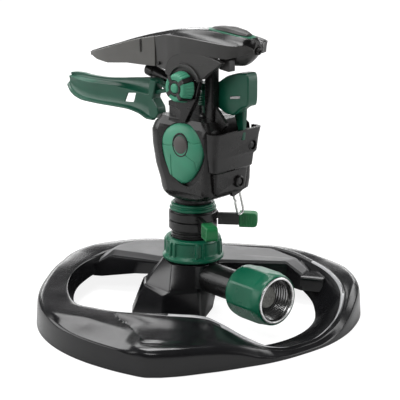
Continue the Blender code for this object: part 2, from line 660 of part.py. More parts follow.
def build_stop(prefix, heading, ring_bottom, frame_name, black, green):
    """Friction collar with a radial arm and a grip cap on the arm's end."""
    frame = add_frame(frame_name, (RISER_X, RISER_Y, 0.0), heading)
    ring_top = ring_bottom + COLLAR_HEIGHT
    inner = SLEEVE_RADIUS + GAP
    collar = turn(prefix + "_collar", tube_profile(COLLAR_RADIUS, inner, ring_bottom, ring_top, 0.5 * MM),
                  black, frame)
    clear = COLLAR_RADIUS + 0.6 * MM
    arm = [(inner + 0.5 * MM, ring_bottom + 0.6 * MM), (clear, ring_bottom + 0.6 * MM),
           (clear, STOP_ARM_BOTTOM), (STOP_REACH - 1.5 * MM, STOP_ARM_BOTTOM),
           (STOP_REACH - 1.5 * MM, STOP_ARM_TOP), (clear, STOP_ARM_TOP), (clear, ring_top - 0.6 * MM),
           (inner + 0.5 * MM, ring_top - 0.6 * MM)]
    half = STOP_ARM_THICK / 2
    unite(collar, prism(prefix + "_arm", arm, -half, half, None, frame))
    inset = STOP_REACH - GRIP_LENGTH
    hw = GRIP_WIDTH / 2
    low, high = STOP_ARM_BOTTOM - GRIP_MARGIN, STOP_ARM_TOP + GRIP_MARGIN
    side = rounded([(inset, low), (STOP_REACH, low), (STOP_REACH, high), (inset, high)],
                   [0.6 * MM, 3.0 * MM, 3.0 * MM, 0.6 * MM], steps=4)
    grip = prism(prefix + "_grip", side, -hw, hw, green, frame, bevel=0.7 * MM)
    pocket = prism(prefix + "_grip_pocket", [(inset - MM, STOP_ARM_BOTTOM - GAP),
                                             (STOP_REACH - 1.2 * MM, STOP_ARM_BOTTOM - GAP),
                                             (STOP_REACH - 1.2 * MM, STOP_ARM_TOP + GAP), (inset - MM,
                                                     STOP_ARM_TOP + GAP)],
                   -half - GAP, half + GAP, None, frame)
    cut(grip, pocket)
    for side_sign in (-1, 1):
        for k in range(4):
            x = STOP_REACH - 3.2 * MM - k * 1.9 * MM
            y0 = side_sign * (hw - 0.35 * MM)
            y1 = side_sign * (hw + MM)
            groove = prism("%s_groove_%d_%d" % (prefix, side_sign, k),
                           [(x - 0.45 * MM, low + 1.6 * MM), (x + 0.45 * MM, low + 1.6 * MM),
                            (x + 0.45 * MM, high - 1.6 * MM), (x - 0.45 * MM, high - 1.6 * MM)],
                           min(y0, y1), max(y0, y1), None, frame)
            cut(grip, groove)


def body_ring(z, front, rear, half, corner, steps=4):
    outline = rounded([(-rear, -half), (front, -half), (front, half), (-rear, half)], corner, steps)
    return [(x, y, z) for x, y in outline]


# Head body by height: front, rear and half width from the riser axis, front and rear corners.
BODY_LEVELS = [
    mm(83.4, 13.0, 14.0, 13.6, 13.0, 13.0),
    mm(85.5, 13.6, 23.0, 17.5, 12.5, 12.0),
    mm(88.6, 13.2, 30.0, 20.6, 11.0, 9.0),
    mm(92.0, 13.2, 34.0, 21.8, 10.0, 6.0),
    mm(98.0, 13.8, 34.0, 22.6, 10.0, 5.0),
    mm(108.0, 17.0, 36.0, 23.0, 9.0, 5.0),
    mm(122.0, 20.0, 37.0, 23.0, 9.0, 5.0),
    mm(131.0, 20.8, 37.0, 22.6, 9.0, 5.0),
    mm(136.0, 19.0, 34.0, 21.6, 9.0, 5.0),
    mm(141.0, 15.0, 30.0, 19.0, 8.0, 5.0),
]


def build_body(frame, black, rubber):
    """Front body with its spindle, cheek for the knob, pivot seat and rear column."""
    rings = [body_ring(z, f, min(r, BODY_REAR), w, [min(rc, 0.9 * w), fc, fc, min(rc, 0.9 * w)])
             for z, f, r, w, fc, rc in BODY_LEVELS]
    body = loft("head_body", rings, black, frame, sharp=40.0)
    neck = turn("neck", [(0.0, SPINDLE_BOTTOM), (SPINDLE_RADIUS - 0.8 * MM, SPINDLE_BOTTOM),
                         (SPINDLE_RADIUS - 0.8 * MM, SLEEVE_TOP + 1.0 * MM), (SPINDLE_RADIUS - 0.1 * MM,
                                 SLEEVE_TOP + 1.6 * MM),
                         (SPINDLE_RADIUS - 0.1 * MM, BODY_BOTTOM + 0.1 * MM), (12.6 * MM,
                                 BODY_BOTTOM + 0.1 * MM),
                         (13.0 * MM, 86.0 * MM), (0.0, 86.0 * MM)], None, frame)
    cheek_in = CHEEK_OUTER - CHEEK_THICK
    kx, kz = KNOB_CENTRE
    cheek = prism("knob_cheek", mm_pairs((3.4, 132), (3.4, 152), (-3, 154), (-2, 160),
                                         (-1.4, CHEEK_TOP / MM), (-24.6, CHEEK_TOP / MM),
                                         (-22.6, 162), (-20.6, 154), (-11, 138.5), (-11, 132)),
                  cheek_in, CHEEK_OUTER, None, frame, bevel=0.5 * MM)
    bracket = prism("cheek_bracket", mm_pairs((2.6, 152.2), (-22.4, 156.6), (-21.0, 154.2), (-12.6, 139.6),
                                              (-8.4, 138.6), (-8.2, 147.4),
                                              (2.6, 149.0)),
                    CHEEK_OUTER - MM, CHEEK_OUTER + 1.3 * MM, None, frame, bevel=0.3 * MM)
    foot = prism("cheek_foot", mm_pairs((3.4, 132), (3.4, 140.5), (-11.5, 140.5), (-11.5, 132)),
                 BODY_HALF_WIDTH - 8 * MM,
                 CHEEK_OUTER + 0.6 * MM, None, frame, bevel=0.4 * MM)
    cx, cy = COLUMN_CENTRE
    column = prism("hood_column", rounded([(cx - 3.6 * MM, cy - 3.4 * MM), (cx + 3.6 * MM, cy - 3.4 * MM),
                                           (cx + 3.6 * MM, cy + 3.4 * MM), (cx - 3.6 * MM,
                                                   cy + 3.4 * MM)], 1.2 * MM, 2),
                   136 * MM, 177.0 * MM, None, frame, plane="XY")
    gusset = prism("column_gusset", mm_pairs((-28, 134), (-33.5, 134), (-39.5, 139.4), (-39.5, 141),
                                             (-30, 151), (-28, 151)),
                   cy - 1.2 * MM, cy + 1.2 * MM, None, frame)
    seat = turn("pivot_seat", [(0.0, 136 * MM), (7.5 * MM, 136 * MM), (5.6 * MM, HUB_BOTTOM - 1.2 * MM),
                               (3.2 * MM, HUB_BOTTOM - GAP), (0.0, HUB_BOTTOM - GAP)], None, frame,
                place=Matrix.Translation((PIVOT, 0.0, 0.0)), steps=32)
    tower = prism("nozzle_tower", rounded(mm_pairs((-4.5, -15.8), (8.6, -15.8), (8.6, -2.9), (-4.5, -2.9)),
                                          2.2 * MM, 3), 134 * MM, 155.6 * MM,
                  None, frame, plane="XY")
    unite(body, neck, cheek, bracket, foot, column, gusset, seat, tower)
    pivot_hole = turn("pivot_hole", tube_profile(PIVOT_RADIUS + GAP, 0.0, 130 * MM, 150 * MM), None, frame,
                      place=Matrix.Translation((PIVOT, 0.0, 0.0)), steps=24)
    nozzle_hole = turn("nozzle_hole", tube_profile(NOZZLE_RADIUS + GAP, 0.0, -3 * MM, 12 * MM), None, frame,
                       place=nozzle_place(0.0), steps=28)
    water = turn("water_way", tube_profile(SPINDLE_BORE, 0.0, SPINDLE_BOTTOM - MM, 128 * MM), None, frame,
                 steps=32)
    crossing = turn("nozzle_feed", tube_profile(NOZZLE_BORE + 1.2 * MM, 0.0, 118 * MM, 149 * MM), None,
                    frame,
                    place=Matrix.Translation((1.6 * MM, NOZZLE_SIDE, 0.0)), steps=24)
    knob_hole = turn("knob_hole", tube_profile(2.6 * MM + GAP, 0.0, cheek_in - MM, CHEEK_OUTER + MM), None,
                     frame,
                     place=across(kx, kz), steps=24)
    cover_seat = prism("cover_seat", cover_outline(GAP), BODY_HALF_WIDTH - COVER_THICK - 1.2 * MM,
                       BODY_HALF_WIDTH + 3 * MM, None, frame)
    pin_seat = turn("trip_pin_seat", tube_profile(1.5 * MM + GAP, 0.0, -36 * MM, -25 * MM), None, frame,
                    place=along((0.0, *TRIP_PIVOT), (1.0, 0.0, 0.0)), steps=20)
    screw_seat = turn("screw_seat", tube_profile(1.4 * MM + GAP, 0.0, -36 * MM, -22 * MM), None, frame,
                      place=along((0.0, *HOUSING_SCREW), (1.0, 0.0, 0.0)), steps=20)
    def pocket(name, right, left, bottom, top):
        return prism(name, [(-BODY_REAR - MM, right), (-POCKET_FLOOR, right), (-POCKET_FLOOR, left),
                            (-BODY_REAR - MM, left)], bottom, top,
                     None, frame, plane="XY")
    lever_pocket = pocket("lever_pocket", -14 * MM, 5 * MM, 80 * MM, 121 * MM)
    finger_pocket = pocket("finger_pocket", -20 * MM, 7.5 * MM, 120 * MM, 146 * MM)
    cut(body, pivot_hole, nozzle_hole, water, crossing, knob_hole, cover_seat, pin_seat, screw_seat,
        lever_pocket, finger_pocket)
    turn("neck_seal", tube_profile(SLEEVE_BORE - GAP, SPINDLE_RADIUS - 0.5 * MM, 63 * MM, 65.4 * MM,
                                   0.3 * MM),
         rubber, frame, steps=32)
    turn("wear_washer", tube_profile(12.4 * MM, SPINDLE_RADIUS + GAP, SLEEVE_TOP + GAP + 4.4 * MM + GAP,
                                     BODY_BOTTOM - 0.2 * MM), rubber, frame, steps=32)
    return body


def mm_pairs(*pairs):
    return [mm(*pair) for pair in pairs]


def across(x, z):
    """Z axis of a turned piece laid along the head's +Y, through (x, z)."""
    return along((x, 0.0, z), (0.0, 1.0, 0.0))


def nozzle_place(offset):
    """Z axis along the nozzle, measured from its root towards its tip."""
    rise = math.radians(NOZZLE_RISE)
    d = Vector((math.cos(rise), 0.0, math.sin(rise)))
    tip = Vector((NOZZLE_TIP[0], NOZZLE_SIDE, NOZZLE_TIP[1]))
    return along(tip - d * (NOZZLE_LENGTH - offset), d)


def cover_outline(grow=0.0, steps=40):
    """Egg outline of the side cover, blunt at the top and drawn in towards the foot."""
    cx, cz = COVER_CENTRE
    points = []
    for k in range(steps):
        a = math.tau * k / steps
        up = math.sin(a)
        half = COVER_WIDTH / 2 * (1.0 - 0.16 * (1 - up) / 2 - 0.10 * max(0.0, -up) ** 2)
        x = cx + (half + grow) * math.cos(a) + 2.2 * MM * up
        z = cz + (COVER_HEIGHT / 2 + grow) * up
        points.append((x, z))
    return points


def build_side_cover(frame, green, dark):
    """Domed egg-shaped cover with sunk facets and a plain oval cap in its middle."""
    cx, cz = COVER_CENTRE
    base = BODY_HALF_WIDTH - COVER_THICK - 0.9 * MM
    face = BODY_HALF_WIDTH + 0.9 * MM
    outline = cover_outline(-GAP)
    def scaled(k, y):
        return [(cx + (x - cx) * k, y, cz + (z - cz) * k) for x, z in outline]
    rings = [scaled(1.0, base), scaled(1.0, face - 1.4 * MM), scaled(0.96, face - 0.5 * MM),
             scaled(0.84, face + 0.2 * MM), scaled(0.6, face + 0.9 * MM)]
    cover = loft("side_cover", rings, green, frame, sharp=25.0)
    cap_x, cap_z = cx + 1.4 * MM, cz + 6.5 * MM
    well = turn("cap_well", tube_profile(CAP_RADIUS + GAP + 0.5 * MM, 0.0, face - 1.6 * MM, face + 3 * MM),
                None, frame,
                place=across(cap_x, cap_z), steps=32)
    cut(cover, well)
    cuts = [((-3.0, -6.6), (-7.4, -11.5)), ((-7.4, -11.5), (-8.4, -23)), ((8.4, 1.6), (16, 2.6)),
            ((8.0, -5.5), (8.6, 1.6)), ((3.2, -12), (1.6, -26)), ((-15, 2.0), (-22, 3.4))]
    for k, (p, q) in enumerate(cuts):
        a = Vector((cap_x + p[0] * MM, cap_z + p[1] * MM))
        b = Vector((cap_x + q[0] * MM, cap_z + q[1] * MM))
        n = (b - a).orthogonal().normalized() * 0.35 * MM
        strip = [tuple(a + n), tuple(a - n), tuple(b - n), tuple(b + n)]
        cut(cover, prism("cover_groove_%d" % k, strip, face - 0.9 * MM, face + 4 * MM, None, frame))
    turn("side_cap", [(0.0, face - 1.3 * MM), (CAP_RADIUS, face - 1.3 * MM), (CAP_RADIUS, face + 0.3 * MM),
                      (CAP_RADIUS - 1.2 * MM, face + 0.9 * MM), (0.0, face + 1.1 * MM)], dark, frame,
         place=across(cap_x, cap_z), steps=32)


# Rear housing by height: how far back it reaches, its near and far half widths.
HOUSING_TIERS = [
    mm(91.4, 35.4, 14.0, 9.0), mm(94.0, 36.8, 17.0, 12.0), mm(107.6, 38.2, 18.6, 13.5), mm(109.2, 39.6,
            21.0, 17.0),
    mm(117.0, 40.2, 21.8, 18.0), mm(118.6, 40.8, 22.6, 20.5), mm(129.0, 41.4, 23.0, 22.0), mm(135.0, 42.8,
            23.4, 22.8),
]
HOUSING_SCREW = (-14.5 * MM, 123.0 * MM)


def housing_ring(z, rear, near, far, inset=0.0, front=-BODY_REAR - GAP):
    corner = min(7.0 * MM, 0.9 * (rear - BODY_REAR))
    outline = rounded([(-rear + inset, -far + inset), (front, -far + inset), (front, near - inset),
                       (-rear + inset, near - inset)],
                      [corner, 0.0, 0.0, corner], steps=4)
    return [(x, y, z) for x, y in outline]


def build_rear_housing(frame, black, steel):
    """Open-topped cup behind the body, stepped in three tiers and held by one screw through a post."""
    housing = loft("rear_housing", [housing_ring(*t) for t in HOUSING_TIERS], black, frame, sharp=30.0)
    inner = [housing_ring(*t, inset=THIN_WALL, front=-BODY_REAR + 2 * MM) for t in HOUSING_TIERS[1:]]
    low = [(x, y, HOUSING_TIERS[1][0] - 0.4 * MM) for x, y, _ in inner[0]]
    high = [(x, y, z + 2 * MM) for x, y, z in inner[-1]]
    hollow = loft("housing_hollow", [low] + inner[1:] + [high], None, frame)
    floor_slot = prism("wire_slot", mm_pairs((-35.6, -12.9), (-29.0, -12.9), (-29.0, 4.4), (-35.6, 4.4)),
                       86 * MM, 104 * MM, None, frame,
                       plane="XY")
    cut(housing, hollow, floor_slot)
    y, z = HOUSING_SCREW
    screw_at = along((-40.9 * MM, y, z), (1.0, 0.0, 0.0))
    pin_at = along((-38.0 * MM, TRIP_PIVOT[0], TRIP_PIVOT[1]), (1.0, 0.0, 0.0))
    post = turn("screw_post", [(0.0, -0.4 * MM), (3.9 * MM, -0.4 * MM), (3.9 * MM, 2.6 * MM),
                               (2.7 * MM, 3.4 * MM), (2.7 * MM, 10.6 * MM),
                               (0.0, 10.6 * MM)], None, frame, place=screw_at, steps=24)
    boss = turn("pin_boss_rear", [(0.0, -1.5 * MM), (3.6 * MM, -1.5 * MM), (4.1 * MM, -1.0 * MM),
                                  (4.1 * MM, 2.2 * MM), (0.0, 2.2 * MM)],
                None, frame, place=pin_at, steps=24)
    unite(housing, post, boss)
    screw_well = turn("screw_well", [(0.0, -3 * MM), (3.1 * MM, -3 * MM), (3.1 * MM, 2.0 * MM),
                                     (1.4 * MM + GAP, 2.0 * MM),
                                     (1.4 * MM + GAP, 13 * MM), (0.0,
                                             13 * MM)], None, frame, place=screw_at, steps=24)
    pin_well = turn("pin_well", [(0.0, -4 * MM), (2.9 * MM, -4 * MM), (2.9 * MM, 0.2 * MM),
                                 (1.5 * MM + GAP, 0.2 * MM),
                                 (1.5 * MM + GAP, 6 * MM), (0.0,
                                                            6 * MM)], None, frame, place=pin_at, steps=24)
    cut(housing, screw_well, pin_well)
    turn("housing_screw", [(0.0, 0.3 * MM), (1.9 * MM, 0.3 * MM), (2.7 * MM, 0.9 * MM),
                           (2.7 * MM, 1.7 * MM), (1.4 * MM, 1.7 * MM),
                           (1.4 * MM, 16 * MM), (0.6 * MM, 17.5 * MM), (0.0,
                                   17.5 * MM)], steel, frame, place=screw_at, steps=20)
    return housing


def build_trip(frame, black, steel):
    """Trip lever on its headed pin inside the rear housing, with the wire loop that meets the stops."""
    y0, z0 = TRIP_PIVOT
    lever_frame = add_frame("trip_lever_axis", (TRIP_PLANE, y0, z0), parent=frame)
    lever_frame.rotation_euler = (math.radians(-TRIP_TILT), 0.0, 0.0)
    half = TRIP_THICK / 2
    w = WIRE_HALF_WIDTH + WIRE_RADIUS + 1.3 * MM
    outline = rounded([(-w, -10.2 * MM), (w, -10.2 * MM), (w, -4 * MM), (3.6 * MM, 3 * MM),
                       (2.2 * MM, 23.5 * MM),
                       (-2.2 * MM, 23.5 * MM), (-3.6 * MM, 3 * MM), (-w, -4 * MM)], 1.2 * MM, 2)
    lever = prism("trip_lever", outline, -half, half, black, lever_frame, plane="YZ")
    hub = turn("lever_hub", [(0.0, -1.8 * MM), (3.3 * MM, -1.8 * MM), (3.3 * MM, 1.8 * MM),
                             (0.0, 1.8 * MM)], None, lever_frame,
               place=along((0, 0, 0), (1.0, 0, 0)), steps=24)
    unite(lever, hub)
    hole = turn("lever_hole", tube_profile(1.5 * MM + GAP, 0.0, -5 * MM, 5 * MM), None, lever_frame,
                place=along((0, 0, 0), (1.0, 0, 0)), steps=20)
    guides = [prism("wire_guide_%d" % sign, [(sign * WIRE_HALF_WIDTH - g, -12 * MM),
                                             (sign * WIRE_HALF_WIDTH + g, -12 * MM),
                                             (sign * WIRE_HALF_WIDTH + g,
                                              0.2 * MM), (sign * WIRE_HALF_WIDTH - g, 0.2 * MM)],
                    -g, half + MM, None, lever_frame, plane="YZ")
              for sign in (-1, 1) for g in (WIRE_RADIUS + GAP,)]
    cut(lever, hole, *guides)
    turn("trip_pin", [(0.0, -0.9 * MM), (1.8 * MM, -0.9 * MM), (2.6 * MM, -0.4 * MM),
                      (2.6 * MM, -0.1 * MM), (1.5 * MM, -0.1 * MM),
                      (1.5 * MM, 11.4 * MM), (0.0, 11.4 * MM)], steel, frame,
         place=along((-38.0 * MM, y0, z0), (1.0, 0.0, 0.0)), steps=20)
    reach = (z0 - WIRE_BOTTOM) / math.cos(math.radians(TRIP_TILT)) - WIRE_RADIUS
    h = WIRE_HALF_WIDTH
    points = [(h, -1.4 * MM), (h, -11.0 * MM), (h, -13.0 * MM), (h - 0.8 * MM, -14.6 * MM), (h, -16.2 * MM)]
    for k in range(7):
        a = math.pi * k / 6
        points.append((h * math.cos(a), -reach + h - h * math.sin(a)))
    points += [(-h, -14 * MM), (-h, -1.4 * MM)]
    wire_frame = add_frame("trip_wire_slide", (0.0, 0.0, 0.0), parent=lever_frame)
    wire_tube("trip_wire", [(0.0, y, z) for y, z in points], WIRE_RADIUS, steel, wire_frame, sides=8)


def wire_tube(name, points, radius, mat, parent, sides=8):
    """Round wire swept along a polyline, with flat ends square to the wire."""
    pts = [Vector(q) for q in points]
    tangents = []
    for i in range(len(pts)):
        a = pts[max(i - 1, 0)]
        b = pts[min(i + 1, len(pts) - 1)]
        tangents.append((b - a).normalized())
    normal = tangents[0].orthogonal().normalized()
    rings = []
    for q, t in zip(pts, tangents):
        normal = (normal - t * normal.dot(t)).normalized()
        binormal = t.cross(normal)
        turns = [math.tau * k / sides for k in range(sides)]
        rings.append([tuple(q + (normal * math.cos(a) + binormal * math.sin(a)) * radius) for a in turns])
    return loft(name, rings, mat, parent, sharp=60.0)


def spring_points():
    """Centre line of the arm spring: straight foot, even coils, straight head."""
    per_turn = 10
    count = SPRING_TURNS * per_turn
    points = []
    for k in range(count + 1):
        a = math.tau * k / per_turn + math.pi
        z = SPRING_BOTTOM + SPRING_PITCH * k / per_turn
        points.append(Vector((PIVOT + SPRING_RADIUS * math.cos(a), SPRING_RADIUS * math.sin(a), z)))
    first = points[0] + Vector((0.0, 3.4 * MM, -0.5 * MM))
    last = points[-1] + Vector((0.0, -3.4 * MM, -0.1 * MM))
    return [first] + points + [last]


def least_gap(points, radius, skip=6):
    """Smallest gap of a swept wire to its own later turns."""
    best = 1.0
    for i, a in enumerate(points):
        for b in points[i + skip:]:
            best = min(best, (a - b).length - 2 * radius)
    return best


def build_arm(frame, green, steel):
    """Impact arm: spoon blade, twin struts, hub and counterweight with its finger, on the pivot pin."""
    arm_frame = add_frame("impact_arm_axis", (PIVOT, 0.0, 0.0), parent=frame)
    pin_top = 171.0 * MM
    turn("arm_pin", [(0.0, 134 * MM), (PIVOT_RADIUS, 134 * MM), (PIVOT_RADIUS, pin_top), (0.0, pin_top)],
         steel, frame,
         place=Matrix.Translation((PIVOT, 0.0, 0.0)), steps=24)
    bore = PIVOT_RADIUS + GAP
    arm = turn("impact_arm", [(bore, HUB_BOTTOM), (HUB_RADIUS, HUB_BOTTOM),
                              (HUB_RADIUS, SPRING_TOP + 1.4 * MM), (7.4 * MM, SPRING_TOP + 1.8 * MM),
                              (7.4 * MM, HUB_TOP),
                              (bore, HUB_TOP)], green, arm_frame, steps=32)
    # Blade sections along the arm: distance, lower edge, upper edge, lean of the top, thickness
    stations = [mm(s, lo, hi, ln) for s, lo, hi, ln in
                ((44.5, 131.6, 160.4, 1.0), (52.0, 130.9, 159.2, 2.6), (62.0, 132.6, 157.8, 4.2),
                 (80.0, 134.6, 156.4, 5.6),
                 (100.0, 134.8, 155.4, 6.2), (118.0, 135.2, 154.6, 6.6), (132.0, 136.4, 154.0,
                         6.6), (139.6, 138.2, 153.8, 6.2))]
    rings = []
    for s, lo, hi, ln in stations:
        profile = []
        steps = 6
        for k in range(steps + 1):
            t = k / steps
            profile.append((4.2 * MM - ln * t ** 2.2 - 1.2 * MM * math.sin(math.pi * t),
                            lo + (hi - lo) * t))
        thick = BLADE_THICK
        back = [(y - thick, z + (0.3 * MM if 0 < i < steps else 0.0)) for i, (y, z) in enumerate(profile)]
        rings.append([(s, y, z) for y, z in profile + back[::-1]])
    blade = loft("arm_blade", rings, None, arm_frame)
    tip = prism("blade_tip_cut", mm_pairs((146.0, 136.0), (144.8, 143.0), (137.6, 156.0), (160.0, 156.0),
                                          (160.0, 130.0), (139.0, 130.0)),
                -20 * MM, 20 * MM, None, arm_frame)
    window = prism("blade_window", mm_pairs((69.4, 146.6), (79.2, 146.2), (82.2, 138.6), (72.2, 138.8)),
                   -20 * MM, 20 * MM, None, arm_frame)
    cut(blade, window, tip)
    box = prism("blade_box", rounded(mm_pairs((39.4, 141.0), (45.5, 131.4), (54.0, 131.2), (52.0, 159.6),
                                              (38.4, 160.6)), 1.4 * MM, 2),
                -3.2 * MM, 5.2 * MM, None, arm_frame, bevel=0.6 * MM)
    pocket = prism("box_pocket", rounded(mm_pairs((36.0, 141.6), (46.4, 138.4), (46.4, 149.6),
                                                  (36.0, 150.6)), 0.8 * MM, 2),
                   -1.4 * MM, 8.0 * MM, None, arm_frame)
    cut(box, pocket)
    vane = loft("drive_vane", [[(58 * MM, y, z) for y,
                                z in mm_pairs((1.6, 150.4), (-3.4, 155.6), (-4.6, 154.2), (1.2, 148.0))],
                               [(75 * MM, y, z) for y,
                                z in mm_pairs((1.0, 150.6), (-11.6, 156.4), (-12.8, 154.6), (0.6, 148.2))]],
                None, arm_frame)
    strut_root, neck = (SPRING_TOP + 1.8 * MM) / MM, (SPRING_TOP + 0.8 * MM) / MM
    top_strut = prism("top_strut", mm_pairs((3.5, strut_root), (41.0, 157.6), (41.0, 160.4), (3.5, 163.6)),
                      -2.2 * MM, 2.2 * MM, None,
                      arm_frame, bevel=0.4 * MM)
    low_strut = prism("low_strut", mm_pairs((3.2, 143.8), (41.0, 149.6), (41.0, 153.2), (3.2, 147.2)),
                      -2.2 * MM, 2.2 * MM, None,
                      arm_frame, bevel=0.4 * MM)
    hw = WEIGHT_THICK / 2
    weight = prism("counterweight", rounded(mm_pairs((-3.4, neck), (-3.4, 163.6), (-8.0, 164.6),
                                                     (-18, 170.4), (-33.5, 174.6), (-44.2, 174.2),
                                                     (-43.4, 154.6), (-32, 151.4), (-17, 145.0), (-9.0,
                                                             150.2), (-8.6, neck)),
                                            [0.0, 0.0, 3 * MM, 10 * MM, 6 * MM, 1.5 * MM, 1.5 * MM, 3 * MM,
                                             3 * MM, 2 * MM, MM], 3),
                   -hw, hw, None, arm_frame, bevel=0.7 * MM)
    fx, fy = -22.4 * MM, -4.6 * MM
    finger = loft("trip_finger", [[(fx + dx, fy + dy, z) for dx, dy in ((-a, -b), (a, -b), (a, b), (-a, b))]
                                  for z, a, b in ((152 * MM, 5.6 * MM, 2.4 * MM),
                                                  (143 * MM, 4.0 * MM, 2.0 * MM), (127.4 * MM, 1.5 * MM,
                                                          1.7 * MM))],
                  None, arm_frame)
    slot = prism("insert_slot", rounded(mm_pairs((-30.0, 155.6), (-19.8, 156.9), (-19.8, 160.3),
                                                 (-30.0, 159.0)), 0.6 * MM, 2),
                 hw - 3.0 * MM, hw + 2 * MM, None, arm_frame)
    unite(arm, blade, box, vane, top_strut, low_strut, weight, finger)
    cut(arm, slot)
    prism("weight_insert", rounded(mm_pairs((-29.6, 156.1), (-20.2, 157.3), (-20.2, 159.8),
                                            (-29.6, 158.5)), 0.4 * MM, 2),
          hw - 2.6 * MM, hw + 0.5 * MM, steel, arm_frame, bevel=0.3 * MM)
    points = spring_points()
    wire_tube("arm_spring", points, SPRING_WIRE, steel, frame, sides=8)
    print("arm spring least gap %.2f mm" % (least_gap(points, SPRING_WIRE) / MM))


def build_nozzle(frame, black, dark):
    """Inclined nozzle barrel with an oblique mouth and a pressed-in jet insert."""
    place = nozzle_place(0.0)
    n = NOZZLE_LENGTH
    barrel = turn("nozzle_barrel", [(NOZZLE_BORE + 0.8 * MM, -2.6 * MM), (NOZZLE_RADIUS, -2.6 * MM),
                                    (NOZZLE_RADIUS, n - 8 * MM),
                                    (NOZZLE_RADIUS + 0.7 * MM, n - 7 * MM), (NOZZLE_RADIUS + 0.7 * MM,
                                            n - 0.6 * MM),
                                    (NOZZLE_RADIUS + 0.1 * MM, n), (NOZZLE_BORE + 0.8 * MM,
                                            n), (NOZZLE_BORE + 0.8 * MM, n - 5 * MM),
                                    (NOZZLE_BORE + 0.3 * MM, n - 5 * MM)],
                  black, frame, place=place, steps=32)
    turn("jet_insert", [(NOZZLE_BORE - 0.6 * MM, n - 4.7 * MM), (NOZZLE_BORE + 0.5 * MM, n - 4.7 * MM),
                        (NOZZLE_BORE + 0.5 * MM, n - 0.4 * MM), (NOZZLE_BORE - 0.6 * MM, n - 0.4 * MM)],
         dark, frame, place=place, steps=24)
    return barrel


def build_knob(frame, black, green):
    """Range knob: black four-spoke hub, green grip pads in its quarters and an oval cap."""
    kx, kz = KNOB_CENTRE
    knob_frame = add_frame("range_knob_axis", (kx, 0.0, kz), parent=frame)
    place = across(0.0, 0.0)
    y0, y1 = KNOB_INNER, KNOB_INNER + KNOB_DEPTH
    r = KNOB_RADIUS
    hub = turn("knob_hub", [(0.0, CHEEK_OUTER - CHEEK_THICK - 0.6 * MM),
                            (2.6 * MM, CHEEK_OUTER - CHEEK_THICK - 0.6 * MM),
                            (2.6 * MM, CHEEK_OUTER + GAP), (5.2 * MM, CHEEK_OUTER + GAP), (5.2 * MM,
                                    y0), (r - 1.2 * MM, y0), (r - 1.2 * MM, y0 + 1.8 * MM), (4.6 * MM,
                                            y0 + 1.8 * MM),
                            (4.6 * MM, y1 - 0.4 * MM), (4.2 * MM, y1), (0.0,
                                    y1)], black, knob_frame, place=place, steps=32)
    for k in range(4):
        a = math.radians(45.0 + 90.0 * k + 8.0)
        spoke = prism("knob_spoke_%d" % k, rounded([(2.0 * MM, -1.3 * MM), (r - 0.2 * MM, -1.5 * MM),
                                                    (r - 0.2 * MM, 1.5 * MM), (2.0 * MM, 1.3 * MM)],
                                                   0.3 * MM, 1),
                      y0 + 1.0 * MM, y1 - 0.3 * MM, None, knob_frame, place=Matrix.Rotation(-a, 4, "Y"))
        unite(hub, spoke)
    socket = turn("cap_socket", tube_profile(3.2 * MM + GAP, 0.0, y1 - 1.6 * MM, y1 + MM), None,
                  knob_frame, place=place, steps=24)
    cut(hub, socket)
    for k in range(4):
        mid = math.radians(90.0 * k + 8.0)
        spread = math.radians(33.0)
        inner, teeth = 5.3 * MM, 4
        outline = []
        for i in range(teeth * 4 + 1):
            a = mid - spread + 2 * spread * i / (teeth * 4)
            rr = r + (0.0 if i % 4 in (1, 2) else -0.5 * MM)
            outline.append((rr * math.cos(a), rr * math.sin(a)))
        for i in range(5):
            a = mid + spread * 0.86 * (1 - i / 2)
            outline.append((inner * math.cos(a), inner * math.sin(a)))
        prism("knob_pad_%d" % (k + 1), outline, y0 + 2.1 * MM, y1 - 0.5 * MM, green, knob_frame)
    turn("knob_cap", [(0.0, y1 - 1.3 * MM), (3.2 * MM, y1 - 1.3 * MM), (3.2 * MM, y1 + 0.1 * MM),
                      (2.4 * MM, y1 + 0.7 * MM), (0.0, y1 + 0.9 * MM)],
         green, knob_frame, place=place, steps=24)


def hood_section(s, half, top, shoulder, skirt, wall, floor_drop=0.0):
    """Inverted-U section of the hood at s: outer path left to right, then the inner path back."""
    foot = half - (min(HOOD_FLARE, 0.1 * half) if s < PIVOT else 0.0)
    side = [(foot, skirt), (half, shoulder), (0.74 * half, shoulder + 0.3 * (top - shoulder)),
            (0.36 * half, top - 0.14 * (top - shoulder))]
    outer = [(-y, z) for y, z in side] + [(0.0, top)] + side[::-1]
    inner = []
    for y, z in outer:
        iy = y * (half - wall) / half
        iz = z if z == skirt else z - wall * (1.0 if abs(y) < 0.9 * half else 0.3)
        inner.append((iy, iz))
    return [(s, y, z) for y, z in outer + inner[::-1]]


# Hood by distance from the riser: half width, crest, shoulder and skirt heights. The skirt
# rises over the knob as a wheel arch does.
HOOD_STATIONS = [
    mm(18.7, 17.0, 195.6, 188.8, 172.6), mm(8.0, 19.5, 197.6, 190.8, 171.8),
    mm(4.5, 20.4, 198.1, 191.4, 175.6), mm(-3.0, 21.5, 198.9, 192.6, 182.8),
    mm(-10.0, 22.2, 199.5, 193.6, 185.0), mm(-23.5, 22.2, 200.0, 194.6, 185.7),
    mm(-37.0, 21.2, 199.6, 194.8, 184.8), mm(-46.5, 19.0, 198.6, 194.4, 184.8),
    mm(-52.0, 15.6, 197.4, 193.8, 186.6), mm(-54.2, 9.6, 196.8, 193.2, 187.6),
    mm(-57.2, 5.4, 195.8, 191.2, 188.8),
]
